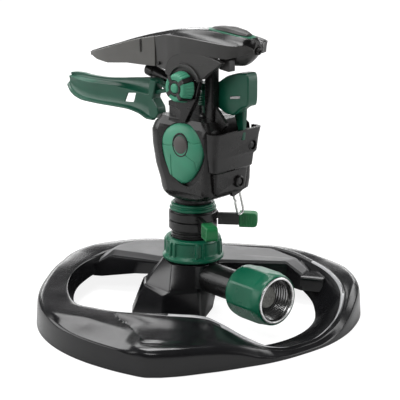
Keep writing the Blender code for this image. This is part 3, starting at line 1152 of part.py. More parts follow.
# Beak flap by distance ahead of the riser: half width, crest, shoulder and skirt heights.
BEAK_STATIONS = [
    mm(19.4, 17.0, 195.4, 188.6, 172.8), mm(32.0, 16.4, 192.4, 186.4, 172.0),
    mm(48.0, 15.4, 188.0, 182.4, 171.4), mm(70.0, 12.6, 181.0, 176.4, 168.5),
    mm(85.0, 8.6, 176.6, 173.4, 168.8), mm(97.8, 2.6, 172.8, 171.8, 170.3),
]


def build_hood(frame, black, green, dark, steel):
    """Hood shell on the column and cheek, its knob liner, top cap with green trim, rear plug and flap."""
    hood = loft("hood", [hood_section(*row, THIN_WALL) for row in HOOD_STATIONS], black, frame, sharp=28.0)
    kx, kz = KNOB_CENTRE
    low = CHEEK_TOP + GAP
    liner = prism("knob_liner", mm_pairs((5.6, low / MM), (5.6, 178), (0, 184.5), (-8, 188.0),
                                         (-38, 188.0), (-44.5, 184.6), (-40.7, 180.6),
                                         (-28.2, 171.2), (-25.4, low / MM)),
                  CHEEK_OUTER - 3.4 * MM, CHEEK_OUTER + 0.2 * MM, None, frame)
    rim_out, rim_in = KNOB_RADIUS + 4.4 * MM, KNOB_RADIUS + 2.6 * MM
    def half_ring(r):
        start = math.asin((low - kz) / r)
        return [(kx + r * math.cos(start + (math.pi - 2 * start) * k / 16),
                 kz + r * math.sin(start + (math.pi - 2 * start) * k / 16))
                for k in range(17)]
    rim = half_ring(rim_out) + half_ring(rim_in)[::-1]
    arch = prism("knob_arch", rim, CHEEK_OUTER - MM, CHEEK_OUTER + 1.6 * MM, None, frame)
    cx, cy = COLUMN_CENTRE
    lug_plan = [(cx - 8.5 * MM, cy - 5.2 * MM), (cx + 5.2 * MM, cy - 5.2 * MM),
                (cx + 5.2 * MM, cy + 5.2 * MM), (cx - 8.5 * MM, cy + 5.2 * MM)]
    lug = prism("hood_lug", rounded(lug_plan, 0.8 * MM, 1), 171.6 * MM, 197.4 * MM, None, frame, plane="XY")
    bulb_rows = [mm(-34, 8.0, 181.0, 196.8), mm(-38, 9.0, 177.8, 196.4), mm(-45.5, 9.0, 178.4, 195.2),
                 mm(-52, 6.6, 182.2, 193.6), mm(-56.8, 3.9, 187.6, 192.6)]
    half_turn = [math.pi * k / 8 for k in range(9)]
    bulb = loft("hood_bulb", [[(x, -w * math.cos(a), foot + 0.8 * w * (1 - math.sin(a)))
                               for a in half_turn] +
                              [(x, 0.9 * w, top), (x, -0.9 * w,
                                                   top)] for x, w, foot, top in bulb_rows], None, frame)
    pin_boss = turn("pin_boss", [(0.0, 167.6 * MM), (3.6 * MM, 167.6 * MM), (4.4 * MM, 198.4 * MM),
                                 (0.0, 198.4 * MM)], None, frame,
                    place=Matrix.Translation((PIVOT, 0.0, 0.0)), steps=24)
    unite(hood, liner, arch, lug, bulb, pin_boss)
    column_socket = prism("column_socket", [(cx - 3.6 * MM - GAP, cy - 3.4 * MM - GAP),
                                            (cx + 3.6 * MM + GAP, cy - 3.4 * MM - GAP),
                                            (cx + 3.6 * MM + GAP,
                                             cy + 3.4 * MM + GAP), (cx - 3.6 * MM - GAP,
                                                     cy + 3.4 * MM + GAP)],
                          168 * MM, 177.0 * MM + GAP, None, frame, plane="XY")
    pin_socket = turn("pin_socket", tube_profile(PIVOT_RADIUS + GAP, 0.0, 160 * MM, 171.3 * MM), None,
                      frame,
                      place=Matrix.Translation((PIVOT, 0.0, 0.0)), steps=24)
    plug_at = along((-50.2 * MM, 0.0, 190.6 * MM), (-1.0, 0.0, -0.2))
    plug_hole = turn("plug_hole", tube_profile(2.4 * MM + GAP, 0.0, -GAP, 12 * MM), None, frame,
                     place=plug_at, steps=24)
    pin_hole = turn("flap_pin_hole", tube_profile(FLAP_PIN_RADIUS + GAP, 0.0, -25 * MM, 25 * MM), None,
                    frame,
                    place=across(*FLAP_HINGE), steps=20)
    trim_rows = [mm(-15.5, 1.2, 200.4), mm(-19.5, 5.6, 200.5), mm(-33.0, 8.0, 199.9),
                 mm(-45.0, 7.2, 198.6), mm(-52.8, 3.4, 197.5)]
    deep = 2.2 * MM
    ends = [(trim_rows[0][0] + GAP, *trim_rows[0][1:])] + trim_rows[1:-1] + [(trim_rows[-1][0] - GAP,
            *trim_rows[-1][1:])]
    seat = loft("trim_seat", [[(x, -w - GAP, z - deep - GAP), (x, -w - GAP, z + 6 * MM),
                               (x, w + GAP, z + 6 * MM), (x, w + GAP, z - deep - GAP)]
                              for x, w, z in ends], None, frame)
    cut(hood, column_socket, pin_socket, plug_hole, pin_hole, seat)
    turn("rear_plug", [(0.0, 0.0), (2.4 * MM, 0.0), (2.4 * MM, 8.2 * MM), (2.0 * MM, 8.8 * MM),
                       (1.2 * MM, 8.8 * MM), (1.2 * MM, 7.4 * MM),
                       (0.0, 7.4 * MM)], dark, frame, place=plug_at, steps=24)
    loft("hood_trim", [[(x, -w, z - deep), (x, -w, z), (x, w, z), (x, w, z - deep)] for x, w,
                       z in trim_rows], green, frame)
    cap_rows = [mm(-20.0, 3.4, 200.9, 201.7), mm(-26.0, 5.4, 200.6, 202.6), mm(-35.0, 6.2, 200.2, 202.7),
                mm(-44.5, 5.4, 199.1, 201.3), mm(-50.0, 3.0, 198.4, 199.7)]
    loft("hood_cap", [[(x, -w, lo), (x, -0.7 * w, hi - 0.4 * MM), (x, 0.0, hi),
                       (x, 0.7 * w, hi - 0.4 * MM), (x, w, lo)]
                      for x, w, lo, hi in cap_rows], dark, frame)
    turn("flap_pin", [(0.0, -18.2 * MM), (FLAP_PIN_RADIUS, -18.2 * MM), (FLAP_PIN_RADIUS, 18.2 * MM),
                      (0.0, 18.2 * MM)], steel, frame,
         place=across(*FLAP_HINGE), steps=20)
    build_flap(frame, black)


def build_flap(frame, black):
    """Beak flap on the hood's cross pin: two ears reach back inside the hood, a slot shows on each flank."""
    flap_frame = add_frame("beak_flap_axis", (FLAP_HINGE[0], 0.0, FLAP_HINGE[1]), parent=frame)
    shift = Vector((FLAP_HINGE[0], 0.0, FLAP_HINGE[1]))
    rings = [[tuple(Vector(q) - shift) for q in hood_section(*row, THIN_WALL)] for row in BEAK_STATIONS]
    flap = loft("beak_flap", rings, black, flap_frame, sharp=28.0)
    ear_plan = mm_pairs((-3.0, 12.3), (-3.0, 14.2), (4.8, 14.2), (5.4, 15.8), (12.0, 15.4), (12.0, 12.3))
    ears = [prism("flap_ear_%d" % sign, [(x, sign * y) for x, y in ear_plan],
                  -2.3 * MM, 3.4 * MM, None, flap_frame, plane="XY") for sign in (-1, 1)]
    unite(flap, *ears)
    slot_side = rounded(mm_pairs((15.2, 6.8), (18.4, 6.8), (18.4, 15.4), (15.2, 15.4)), 1.2 * MM, 3)
    slots = [prism("flap_slot_%d" % k, slot_side, low, low + 7 * MM, None, flap_frame)
             for k, low in enumerate((-20 * MM, 13 * MM))]
    bore = turn("flap_bore", tube_profile(FLAP_PIN_RADIUS + GAP, 0.0, -16 * MM, 16 * MM), None, flap_frame,
                place=across(0.0, 0.0), steps=20)
    cut(flap, bore, *slots)


def main():
    clear_scene()
    black_gloss = make_material("black_gloss", (0.022, 0.022, 0.024), 0.28)
    black_satin = make_material("black_satin", (0.05, 0.05, 0.052), 0.42)
    black_tube = make_material("black_tube", (0.018, 0.018, 0.018), 0.45)
    dark_grey = make_material("dark_grey", (0.11, 0.10, 0.095), 0.5)
    green_dark = make_material("green_dark", (0.012, 0.10, 0.062), 0.38)
    green_nut = make_material("green_nut", (0.018, 0.14, 0.085), 0.32)
    green_pale = make_material("green_pale", (0.11, 0.30, 0.22), 0.4)
    green_grip = make_material("green_grip", (0.03, 0.20, 0.085), 0.45)
    chrome = make_material("chrome", (0.80, 0.80, 0.80), 0.15, 1.0)
    steel = make_material("steel", (0.62, 0.62, 0.61), 0.25, 1.0)
    rubber = make_material("rubber", (0.02, 0.02, 0.02), 0.7)
    strainer = make_material("strainer_grey", (0.30, 0.30, 0.29), 0.5)

    build_base(black_gloss)
    build_inlet(black_tube, green_nut, chrome, rubber, strainer)
    build_union(green_nut, black_tube, rubber)
    build_stop("lower_stop", LOWER_STOP_HEADING, LOWER_COLLAR_BOTTOM, "lower_stop_axis", black_tube,
               green_grip)
    build_stop("upper_stop", UPPER_STOP_HEADING, LOWER_COLLAR_BOTTOM + COLLAR_HEIGHT + GAP,
               "upper_stop_axis",
               black_tube, green_grip)
    head = add_frame("head_axis", (RISER_X, RISER_Y, 0.0), HEAD_HEADING)
    build_body(head, black_satin, rubber)
    build_side_cover(head, green_pale, dark_grey)
    build_rear_housing(head, black_satin, steel)
    build_trip(head, black_tube, steel)
    build_arm(head, green_dark, steel)
    build_nozzle(head, black_tube, dark_grey)
    build_knob(head, black_satin, green_pale)
    build_hood(head, black_satin, green_nut, dark_grey, steel)
    bpy.context.view_layer.update()


main()
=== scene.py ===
# Lawn sprinkler on a ring base: finishes, fine pieces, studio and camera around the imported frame.
import json
import math
import bpy
import bmesh
import numpy as np
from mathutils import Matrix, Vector


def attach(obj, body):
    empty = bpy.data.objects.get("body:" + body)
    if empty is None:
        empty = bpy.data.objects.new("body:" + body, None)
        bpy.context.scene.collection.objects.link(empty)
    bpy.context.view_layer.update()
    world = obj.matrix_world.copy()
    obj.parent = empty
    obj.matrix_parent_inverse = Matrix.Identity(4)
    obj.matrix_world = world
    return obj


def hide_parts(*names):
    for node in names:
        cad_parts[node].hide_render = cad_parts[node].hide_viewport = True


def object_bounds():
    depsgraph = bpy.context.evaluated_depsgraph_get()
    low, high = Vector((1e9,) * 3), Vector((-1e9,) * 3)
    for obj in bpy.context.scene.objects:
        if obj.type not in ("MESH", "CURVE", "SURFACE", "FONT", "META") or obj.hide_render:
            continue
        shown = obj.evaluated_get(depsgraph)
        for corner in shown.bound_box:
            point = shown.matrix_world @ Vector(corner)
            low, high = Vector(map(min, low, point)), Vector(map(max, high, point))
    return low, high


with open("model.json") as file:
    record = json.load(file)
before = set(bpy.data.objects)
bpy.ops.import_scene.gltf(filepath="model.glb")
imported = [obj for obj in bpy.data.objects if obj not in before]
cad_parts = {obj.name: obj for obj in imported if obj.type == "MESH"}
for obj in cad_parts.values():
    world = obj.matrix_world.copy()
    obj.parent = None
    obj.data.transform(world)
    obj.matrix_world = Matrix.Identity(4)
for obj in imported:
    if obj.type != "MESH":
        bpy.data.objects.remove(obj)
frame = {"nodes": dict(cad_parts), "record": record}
nodes = frame["nodes"]
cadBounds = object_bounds()
mm = 0.001
bodyOf = {n: b for b, members in frame["record"]["behaviour"]["bodies"].items() for n in members}
slotOf = {p["node"]: p["material_slot"] for p in frame["record"]["subparts"]}
print("frame loaded:", len(nodes), "nodes")


# places
joints = {j["name"]: j for j in frame["record"]["behaviour"]["joints"]}
riser = np.array([*joints["head_swivel"]["pos_m"][:2], 0.0])
headTurn = math.radians(137.0)
inletTurn = math.radians(-48.0)
inletHeight = 28.6  # millimetres


def turnedPlan(points, heading):
    # Plan turned by a heading: x cos - y sin, x sin + y cos.
    c, d = math.cos(heading), math.sin(heading)
    x, y, z = np.moveaxis(points, -1, 0)
    return np.stack([c * x - d * y, d * x + c * y, z], -1)


def riserPoints(points):
    # Points in millimetres about the riser axis to the frame.
    return points * mm + riser


def headFrame(points):
    # Head coordinates (forward s, sideways t, up z, in millimetres) to the frame.
    return riserPoints(turnedPlan(points, headTurn))


def inletPoints(points):
    # Points in millimetres whose third coordinate runs out along the hose inlet, the second one up.
    return riserPoints(turnedPlan(points[..., [2, 0, 1]], inletTurn) + (0.0, 0.0, inletHeight))


def polar(r, a, z):
    # Radius, angle and third coordinate to points: r cos a, r sin a, z.
    return np.stack(np.broadcast_arrays(r * np.cos(a), r * np.sin(a), z), -1)


def fullTurn(steps):
    # Column of angles once round.
    return np.arange(steps)[:, None] * math.tau / steps


# materials
def nodeTree(name):
    # New material with its tree and its main shader.
    mat = bpy.data.materials.new(name)
    mat.use_nodes = True
    tree = mat.node_tree
    return mat, tree, tree.nodes["Principled BSDF"]


def addNode(tree, kind, **inputs):
    # New node with constants on its sockets; an underscore stands for a space in a socket's name.
    node = tree.nodes.new(kind)
    for key, value in inputs.items():
        node.inputs[key.replace("_", " ")].default_value = value
    return node


def vary(tree, shader, noise, factor, colours, low, high):
    # Colour blended between two by a factor; roughness between two as the noise goes from 0.3 to 0.7.
    mix = tree.nodes.new("ShaderNodeMix")
    mix.data_type = "RGBA"
    for key, colour in zip("AB", colours):
        mix.inputs[key].default_value = (*colour, 1.0)
    wander = addNode(tree, "ShaderNodeMapRange", From_Min=0.3, From_Max=0.7, To_Min=low, To_Max=high)
    tree.links.new(factor, mix.inputs["Factor"])
    tree.links.new(mix.outputs["Result"], shader.inputs["Base Color"])
    tree.links.new(noise, wander.inputs["Value"])
    tree.links.new(wander.outputs["Result"], shader.inputs["Roughness"])


# what a moulded finish has if its own row doesn't say otherwise
mouldedUsual = dict(cloud=60.0, grain=2600.0, flow=25.0, spread=0.10, flowDepth=0.12, specular=0.5)


def mouldedFinish(name, colour, rough, grainDepth, more=()):
    # Moulded plastic: mottled colour, roughness that wanders, fine grain and faint flow marks as bump.
    look = dict(mouldedUsual, **dict(more))
    mat, tree, shader = nodeTree(name)
    link = tree.links.new
    place = tree.nodes.new("ShaderNodeTexCoord")
    cloud = addNode(tree, "ShaderNodeTexNoise", Scale=look["cloud"], Detail=4.0, Roughness=0.55)
    grain = addNode(tree, "ShaderNodeTexNoise", Scale=look["grain"], Detail=2.0, Roughness=0.6)
    flow = addNode(tree, "ShaderNodeTexNoise", Scale=look["flow"], Detail=1.0, Roughness=0.4)
    for n in (cloud, grain, flow):
        link(place.outputs["Object"], n.inputs["Vector"])
    tint = addNode(tree, "ShaderNodeMapRange", From_Min=0.3, From_Max=0.7, To_Min=0.0, To_Max=1.0)
    link(cloud.outputs["Fac"], tint.inputs["Value"])
    shades = np.outer((1 - look["spread"], 1 + look["spread"]), colour)
    vary(tree, shader, cloud.outputs["Fac"], tint.outputs["Result"], shades, 0.82 * rough, 1.2 * rough)
    fine = addNode(tree, "ShaderNodeBump", Strength=grainDepth, Distance=0.00006)
    wave = addNode(tree, "ShaderNodeBump", Strength=look["flowDepth"], Distance=0.0006)
    link(flow.outputs["Fac"], wave.inputs["Height"])
    link(wave.outputs["Normal"], fine.inputs["Normal"])
    link(grain.outputs["Fac"], fine.inputs["Height"])
    link(fine.outputs["Normal"], shader.inputs["Normal"])
    shader.inputs["Specular IOR Level"].default_value = look["specular"]
    return mat


def metalFinish(name, colour, rough):
    # Bright metal: drawing marks stretched along one way, with roughness that follows them.
    mat, tree, shader = nodeTree(name)
    link = tree.links.new
    place = tree.nodes.new("ShaderNodeTexCoord")
    stretch = addNode(tree, "ShaderNodeMapping", Scale=(400.0, 400.0, 4000.0))
    marks = addNode(tree, "ShaderNodeTexNoise", Scale=1.0, Detail=3.0, Roughness=0.6)
    link(place.outputs["Object"], stretch.inputs["Vector"])
    link(stretch.outputs["Vector"], marks.inputs["Vector"])
    shades = np.minimum(np.outer((0.88, 1.06), colour), 1.0)
    vary(tree, shader, marks.outputs["Fac"], marks.outputs["Fac"], shades, 0.7 * rough, 1.4 * rough)
    bump = addNode(tree, "ShaderNodeBump", Strength=0.1, Distance=0.00004)
    link(marks.outputs["Fac"], bump.inputs["Height"])
    link(bump.outputs["Normal"], shader.inputs["Normal"])
    shader.inputs["Metallic"].default_value = 1.0
    return mat


# name, colour, roughness, depth of the grain, and what differs from the usual
moulded = dict(
    black_gloss=("glossBlack", (0.007, 0.007, 0.008), 0.20, 0.03, dict(flowDepth=0.06, spread=0.15)),
    black_satin=("satinCharcoal", (0.014, 0.013, 0.013), 0.34, 0.14),
    black_tube=("satinBlack", (0.008, 0.008, 0.008), 0.30, 0.12),
    body_black=("bodyBlack", (0.007, 0.0065, 0.0065), 0.27, 0.12, dict(specular=0.42)),
    # painted highlight: pale grey for a narrow strip on the black ring's crest, standing in for the bright
    # line that light draws along the lip
    lip_painted_highlight=("lipPaintedHighlight", (0.42, 0.42, 0.43), 0.14, 0.03),
    # painted shade: near black for the top decks of the hood and beak, darker than their flanks, standing in
    # for the shade that the light leaves on them
    hood_deck_painted_shade=("hoodDeckPaintedShade", (0.006, 0.006, 0.006), 0.22, 0.08, dict(specular=0.3)),
    hood_black=("hoodCharcoal", (0.030, 0.029, 0.028), 0.38, 0.16),
    beak_grey=("beakSmoke", (0.088, 0.086, 0.080), 0.42, 0.16),
    # painted sheen: the bridge deck's top is the same black moulding as its walls; its rougher satin is real,
    # but its pale grey colour stands in for the sheen that light lays on it
    deck_top_painted_sheen=("deckTopPaintedSheen", (0.115, 0.115, 0.117), 0.45, 0.06),
    dark_grey=("warmGrey", (0.075, 0.068, 0.064), 0.5, 0.2),
    green_dark=("bottleGreen", (0.002, 0.074, 0.041), 0.34, 0.08),
    green_nut=("seaGreen", (0.003, 0.120, 0.062), 0.30, 0.06),
    green_pale=("paleGreen", (0.042, 0.255, 0.150), 0.42, 0.15),
    green_grip=("leafGreen", (0.006, 0.175, 0.050), 0.40, 0.12),
    rubber=("sealRubber", (0.012, 0.012, 0.012), 0.7, 0.3),
    strainer_grey=("strainerGrey", (0.17, 0.17, 0.155), 0.55, 0.3, dict(cloud=900.0, spread=0.55)))
metal = dict(
    # painted shade: thread_dark is the plated chrome darkened, standing in for the shade inside the hose
    # thread's bore; the counterweight's plug wears the same dark metal
    thread_dark=("threadChrome", (0.36, 0.36, 0.36), 0.20), chrome=("platedChrome", (0.90, 0.90, 0.90), 0.30),
    steel=("drawnSteel", (0.66, 0.66, 0.65), 0.24))
finishes = {key: mouldedFinish(*row) for key, row in moulded.items()}
finishes.update({key: metalFinish(*row) for key, row in metal.items()})
print("finishes made:", len(finishes))


# pieces
made = set()  # nodes that a finished piece stands for


def newObject(name, data):
    # Object in the scene for a mesh, a lamp or a camera.
    obj = bpy.data.objects.new(name, data)
    bpy.context.scene.collection.objects.link(obj)
    return obj


def settle(obj, finish, *replaced, body=None, smooth=32.0, second=None):
    # Gives a finished mesh its material, its smooth sides, its body and the nodes that it stands for.
    wanted = [finishes[key] for key in (finish, second) if key]
    if list(obj.data.materials) != wanted:  # a carved piece already wears them
        if not second:  # clearing would also forget which faces wear the second one
            obj.data.materials.clear()
        for material in wanted:
            obj.data.materials.append(material)
    obj.data.shade_smooth()
    obj.data.set_sharp_from_angle(angle=math.radians(smooth))
    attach(obj, body or bodyOf[replaced[0]])
    if replaced:
        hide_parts(*replaced)
        made.update(replaced)


def softEdges(node, edge, finish=None):
    # Copy of a node with its seams merged and its corners rounded by a small radius.
    mesh = nodes[node].data.copy()
    obj = newObject(node + "Fine", mesh)
    bm = bmesh.new()
    bm.from_mesh(mesh)
    bmesh.ops.remove_doubles(bm, verts=bm.verts, dist=1e-6)
    bmesh.ops.dissolve_limit(bm, angle_limit=math.radians(0.8), verts=bm.verts, edges=bm.edges)
    bm.to_mesh(mesh)
    bm.free()
    mod = obj.modifiers.new("edges", "BEVEL")
    mod.width = edge * mm
    mod.segments = 2
    mod.limit_method = "ANGLE"
    mod.angle_limit = math.radians(30.0)
    settle(obj, finish or slotOf[node], node)


def gridMesh(points, kind="bar", second=None):
    # Mesh from a grid of points (rows u, columns v). A bar closes round its columns and has end faces,
    # a ring closes both ways, a fan closes round its rows. second tells which faces wear a second finish.
    rows, cols = points.shape[:2]
    index = np.arange(rows * cols).reshape(rows, cols)
    if kind != "bar":
        index = np.vstack([index, index[:1]])
    if kind != "fan":
        index = np.hstack([index, index[:, :1]])
    quads = np.stack([index[:-1, :-1], index[1:, :-1], index[1:, 1:], index[:-1, 1:]], -1).reshape(-1, 4)
    faces = quads.tolist()
    if kind == "bar":
        faces += [np.arange(cols).tolist(), (np.arange(cols) + (rows - 1) * cols).tolist()[::-1]]
    mesh = bpy.data.meshes.new("grid")
    mesh.from_pydata(points.reshape(-1, 3).tolist(), [], faces)
    if second:
        row, column = np.divmod(np.arange(len(quads)), index.shape[1] - 1)
        kinds = np.zeros(len(faces), "i4")
        kinds[:len(quads)] = second(row, column)
        mesh.polygons.foreach_set("material_index", kinds)
    return mesh


def addPiece(name, *meshes):
    # One object from one or more meshes in frame coordinates, doubles merged and faces turned outwards.
    bm = bmesh.new()
    for mesh in meshes:
        part = bmesh.new()
        part.from_mesh(mesh)
        bmesh.ops.remove_doubles(part, verts=part.verts, dist=1e-7)
        bmesh.ops.recalc_face_normals(part, faces=part.faces)
        part.to_mesh(mesh)
        part.free()
        bm.from_mesh(mesh)
        bpy.data.meshes.remove(mesh)
    merged = bpy.data.meshes.new(name)
    bm.to_mesh(merged)
    bm.free()
    return newObject(name, merged)


def steadyCurve(places, values, at, period=None):
    # Monotone cubic through rows of values: smooth, never past them, and closed if a period is given.
    x, y, at = np.asarray(places, float), np.asarray(values, float), np.asarray(at, float)
    if y.ndim == 1:
        y = y[:, None]
    if period:
        order = np.argsort(x % period)
        x, y = (x % period)[order], y[order]
        x = np.concatenate([x[-2:] - period, x, x[:2] + period])
        y = np.concatenate([y[-2:], y, y[:2]])
        at = at % period
    step, rise = np.diff(x)[:, None], np.diff(y, axis=0)
    slope = rise / step
    before, after = slope[:-1], slope[1:]
    wa, wb = 2 * step[1:] + step[:-1], step[1:] + 2 * step[:-1]
    same = before * after > 0
    safe = np.where(same, wa / np.where(same, before, 1.0) + wb / np.where(same, after, 1.0), 1.0)
    inner = np.where(same, (wa + wb) / safe, 0.0)
    tangent = np.concatenate([slope[:1], inner, slope[-1:]])
    k = np.clip(np.searchsorted(x, at, side="right") - 1, 0, len(x) - 2)
    h = (x[k + 1] - x[k])[:, None]
    t = np.clip((at - x[k])[:, None] / h, 0.0, 1.0)
    return ((2 * t**3 - 3 * t**2 + 1) * y[k] + (t**3 - 2 * t**2 + t) * h * tangent[k]
            + (3 * t**2 - 2 * t**3) * y[k + 1] + (t**3 - t**2) * h * tangent[k + 1])


def roundedPath(points, cut, steps=5, closed=False):
    # Rounds the corners of paths (..., corner, axis): each corner becomes a parabola that starts and
    # ends its own share of the way to its neighbours. A share of 0.5 is fully soft, 0.03 is crisp.
    cut = np.broadcast_to(np.asarray(cut, float), points.shape[:-1])[..., None, None]
    before, after = np.roll(points, 1, -2), np.roll(points, -1, -2)
    if not closed:
        before[..., 0, :], after[..., -1, :] = points[..., 0, :], points[..., -1, :]
    t = np.linspace(0.0, 1.0, steps + 1)[:, None]
    a = points[..., None, :] + (before - points)[..., None, :] * cut
    b = points[..., None, :] + (after - points)[..., None, :] * cut
    curve = a * (1 - t) ** 2 + 2 * points[..., None, :] * t * (1 - t) + b * t ** 2
    return curve.reshape(*points.shape[:-2], -1, points.shape[-1])


def turnedMesh(profile, toFrame, steps=256, soft=0.25, arc=4, wave=None):
    # Closed (radius, height) profile with rounded corners, swept round the third axis; wave changes radii.
    path = roundedPath(np.array(profile, float), soft, arc, closed=True)
    a = fullTurn(steps)
    r, z = path[None, :, 0] + 0 * a, path[None, :, 1] + 0 * a
    if wave:
        r = wave(a, r, z)
    return gridMesh(toFrame(polar(r, a, z)), "ring")


def ramp(x, low, high):
    # 0 below low, 1 above high, smooth between.
    t = np.clip((x - low) / (high - low), 0.0, 1.0)
    return t * t * (3 - 2 * t)


# base ring
ring = dict(
    centre=(riser[0] / mm - 1.0, riser[1] / mm - 6.0), wall=2.6, steps=720,
    outline=[(4, 118.2), (16, 118.6), (24, 116.2), (33, 112.2), (52, 106.8), (76, 105.0), (97, 108.0),
             (118, 115.0), (136, 119.0), (153, 110.8), (171, 106.5), (206, 109.3), (239, 113.8),
             (250, 117.0), (256.7, 119.2), (264, 115.6), (276, 108.8), (292, 104.9), (310, 105.5),
             (327, 109.2), (346, 113.8)],
    # heading, crest radius, foot radius, height of the outer top, of the crest, of the foot
    stations=[(0, 100.5, 86, 22.6, 23, 0), (12, 97, 87, 23.8, 24.2, 2), (24, 95, 87.5, 23.8, 24.3, 4),
              (38, 94, 88.5, 24.8, 25.3, 9), (50, 94, 90, 24.1, 24.8, 12), (62, 93, 89, 22.2, 23, 12),
              (78, 92, 88, 21, 22, 12), (97, 92, 88, 22.3, 23.1, 12), (112, 92, 88, 23.8, 24.5, 12),
              (128, 91.5, 87.5, 24, 24.6, 12), (141, 91, 87, 22.8, 23.5, 12), (158, 88, 85, 23.1, 23.7, 11),
              (180, 86, 82, 21.6, 22.2, 11), (204, 85, 80, 20, 20.5, 11), (216, 77.5, 71, 20, 20.6, 11),
              (230, 71, 60, 19.6, 21, 10), (242, 66, 43, 19.2, 21.3, 9), (256, 62.5, 27, 18.6, 21.4, 8),
              (268, 62.5, 27, 18, 21, 8), (278, 64, 37, 17, 19.8, 6), (287, 70, 55, 14, 15.5, 3),
              (295, 82, 66, 9.2, 9.8, 0.5), (302, 95, 74, 5.2, 5.6, 0), (309, 98.5, 78, 3.6, 3.8, 0),
              (320, 101.5, 81, 3.8, 4, 0), (330, 104, 83, 7, 7.2, 0), (340, 104.5, 84.5, 13, 13.4, 0),
              (350, 103.5, 85.5, 19.4, 20, 0)],
    # heading, height of the bead on the crest
    bead=[(0, 0.8), (40, 0.5), (90, 0.0), (200, 0.0), (240, 0.15), (262, 0.9), (290, 1.5), (330, 1.3)],
    # heading, softness of the crest: round on the left, crisp on the right
    crest=[(0, 0.13), (30, 0.14), (60, 0.2), (130, 0.35), (200, 0.40), (225, 0.25), (245, 0.10), (280, 0.11),
           (330, 0.13)],
    broad=(208.0, 228.0, 246.0, 254.0),  # headings between which the shoulder widens and narrows again
    # radius and heading along the fold to the front corner, and its steepness across the section
    fold=[(62.0, 226.0), (76.6, 230.2), (87.1, 243.7), (100.1, 252.1), (119.0, 256.3)],
    foldSteep=[(62, 1.05), (70, 1.1), (82, 2.09), (94, 1.45), (119, 1.09)], foldDepth=4.2, foldFade=15.0)


def broadShare(look, h):
    # 1 where the front left has its broad shoulder, 0 elsewhere, smooth between.
    wide, full, falling, gone = look["broad"]
    return ramp(h, wide, full) * (1 - ramp(h, falling, gone))


def ringSections(look, inset, h):
    # Section's corners by heading, from the outer foot over the dome and the crest to the inner foot.
    outline = steadyCurve(*zip(*look["outline"]), h, 360.0)[:, 0]
    stations = look["stations"]
    places, values = [q[0] for q in stations], [q[1:] for q in stations]
    crest, foot, top, crestTop, lip = steadyCurve(places, values, h, 360.0).T
    crest = np.minimum(crest, outline - 7.0) + inset
    outline, foot, top, crestTop = outline - inset, foot + inset, top - inset, crestTop - inset
    wallTop = np.maximum(top - 4.2, 0.55 * top)
    broad = broadShare(look, h)
    shoulder = np.minimum(5.0 + 12.0 * broad, 0.45 * (outline - crest))
    corners = [(outline, 0 * h), (outline - 0.06 * wallTop, wallTop),
               (outline - shoulder, top - 0.04 * shoulder + 0.3 * broad),
               (0.5 * (outline + crest), 0.5 * (top + crestTop) + 0.3), (crest, crestTop),
               (0.72 * crest + 0.28 * foot, lip + 0.66 * (crestTop - lip)),
               (0.3 * crest + 0.7 * foot, lip + 0.22 * (crestTop - lip)), (foot, lip)]
    return np.stack([np.stack(c, -1) for c in corners], 1)


def ringPoints(look):
    # Skin and lining: rounded sections, plus the crest's bead, less a facet that starts at the fold.
    h = np.arange(look["steps"]) * 360.0 / look["steps"]
    soft = steadyCurve(*zip(*look["crest"]), h, 360.0)[:, 0]
    broad = broadShare(look, h)
    cut = np.stack(np.broadcast_arrays(0.0, 0.28 - 0.2 * broad, 0.45, 0.5, soft, 0.45, 0.45, 0.0), 1)
    skin = roundedPath(ringSections(look, 0.0, h), cut, 7)
    lining = roundedPath(ringSections(look, look["wall"], h), cut, 3)[:, ::-1]
    part = np.arange(1, 10)[:, None] / 10.0  # nine more steps across each of the top's two long spans
    spans = [skin[:, k:k + 1] * (1 - part) + skin[:, k + 1:k + 2] * part for k in (23, 31)]
    skin = np.concatenate([skin[:, :24], spans[0], skin[:, 24:32], spans[1], skin[:, 32:]], 1)
    section = np.concatenate([skin, lining], 1)
    r, z = section[..., 0], section[..., 1]
    crestAt = steadyCurve([q[0] for q in look["stations"]], [q[1] for q in look["stations"]], h, 360.0)
    lip = steadyCurve(*zip(*look["bead"]), h, 360.0) * np.exp(-((r - crestAt - 0.9) / 1.1) ** 2)
    z = z + lip * (np.arange(section.shape[1]) < skin.shape[1]) * ramp(z, 2.0, 4.0)
    past = np.radians(h[:, None] - np.interp(r, *zip(*look["fold"]))) * r
    past = past / np.interp(r, *zip(*look["foldSteep"]))  # millimetres across the fold
    facet = ramp(past, -0.9, 0.9) * np.exp(-np.clip(past, 0, None) / look["foldFade"])
    facet = facet * ramp(r - crestAt, 1.0, 17.0) * (1 - ramp(r, 96.0, 110.0))
    z = z - look["foldDepth"] * facet * np.clip((z - 10) / 5, 0, 1)
    points = (polar(r, np.radians(h)[:, None], z) + (*look["centre"], 0.0)) * mm
    return np.clip(points, np.array(cadBounds[0]), np.array(cadBounds[1]))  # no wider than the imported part


def crestHighlightFaces(row, column):
    # Narrow strip on the crest, from the front right round to the right, that wears the painted highlight;
    # rows are half degrees.
    crest = ((row > 512) | (row < 50)) & (column > 49) & (column < 56)
    return crest | ((row > 570) & (row < 700) & (column > 44) & (column < 50))


ringShell = addPiece("ringShell", gridMesh(ringPoints(ring), "ring", crestHighlightFaces))
# the crest strip wears the painted highlight, pale grey on the black gloss
settle(ringShell, "black_gloss", "base_ring", smooth=38.0, second="lip_painted_highlight")
print("ring laid")


# bridge, shelf and pedestal: columns of corner points (x, y, z) in millimetres about the riser,
# from the foot inwards
def columnPoints(columns, cuts, aroundCut, steps=5):
    # Each column is rounded at its own levels, then every level is rounded at the columns.
    levels = np.array(columns, float)
    path = roundedPath(levels, cuts, steps)
    return np.swapaxes(roundedPath(np.swapaxes(path, 0, 1), aroundCut, steps, closed=True), 0, 1)


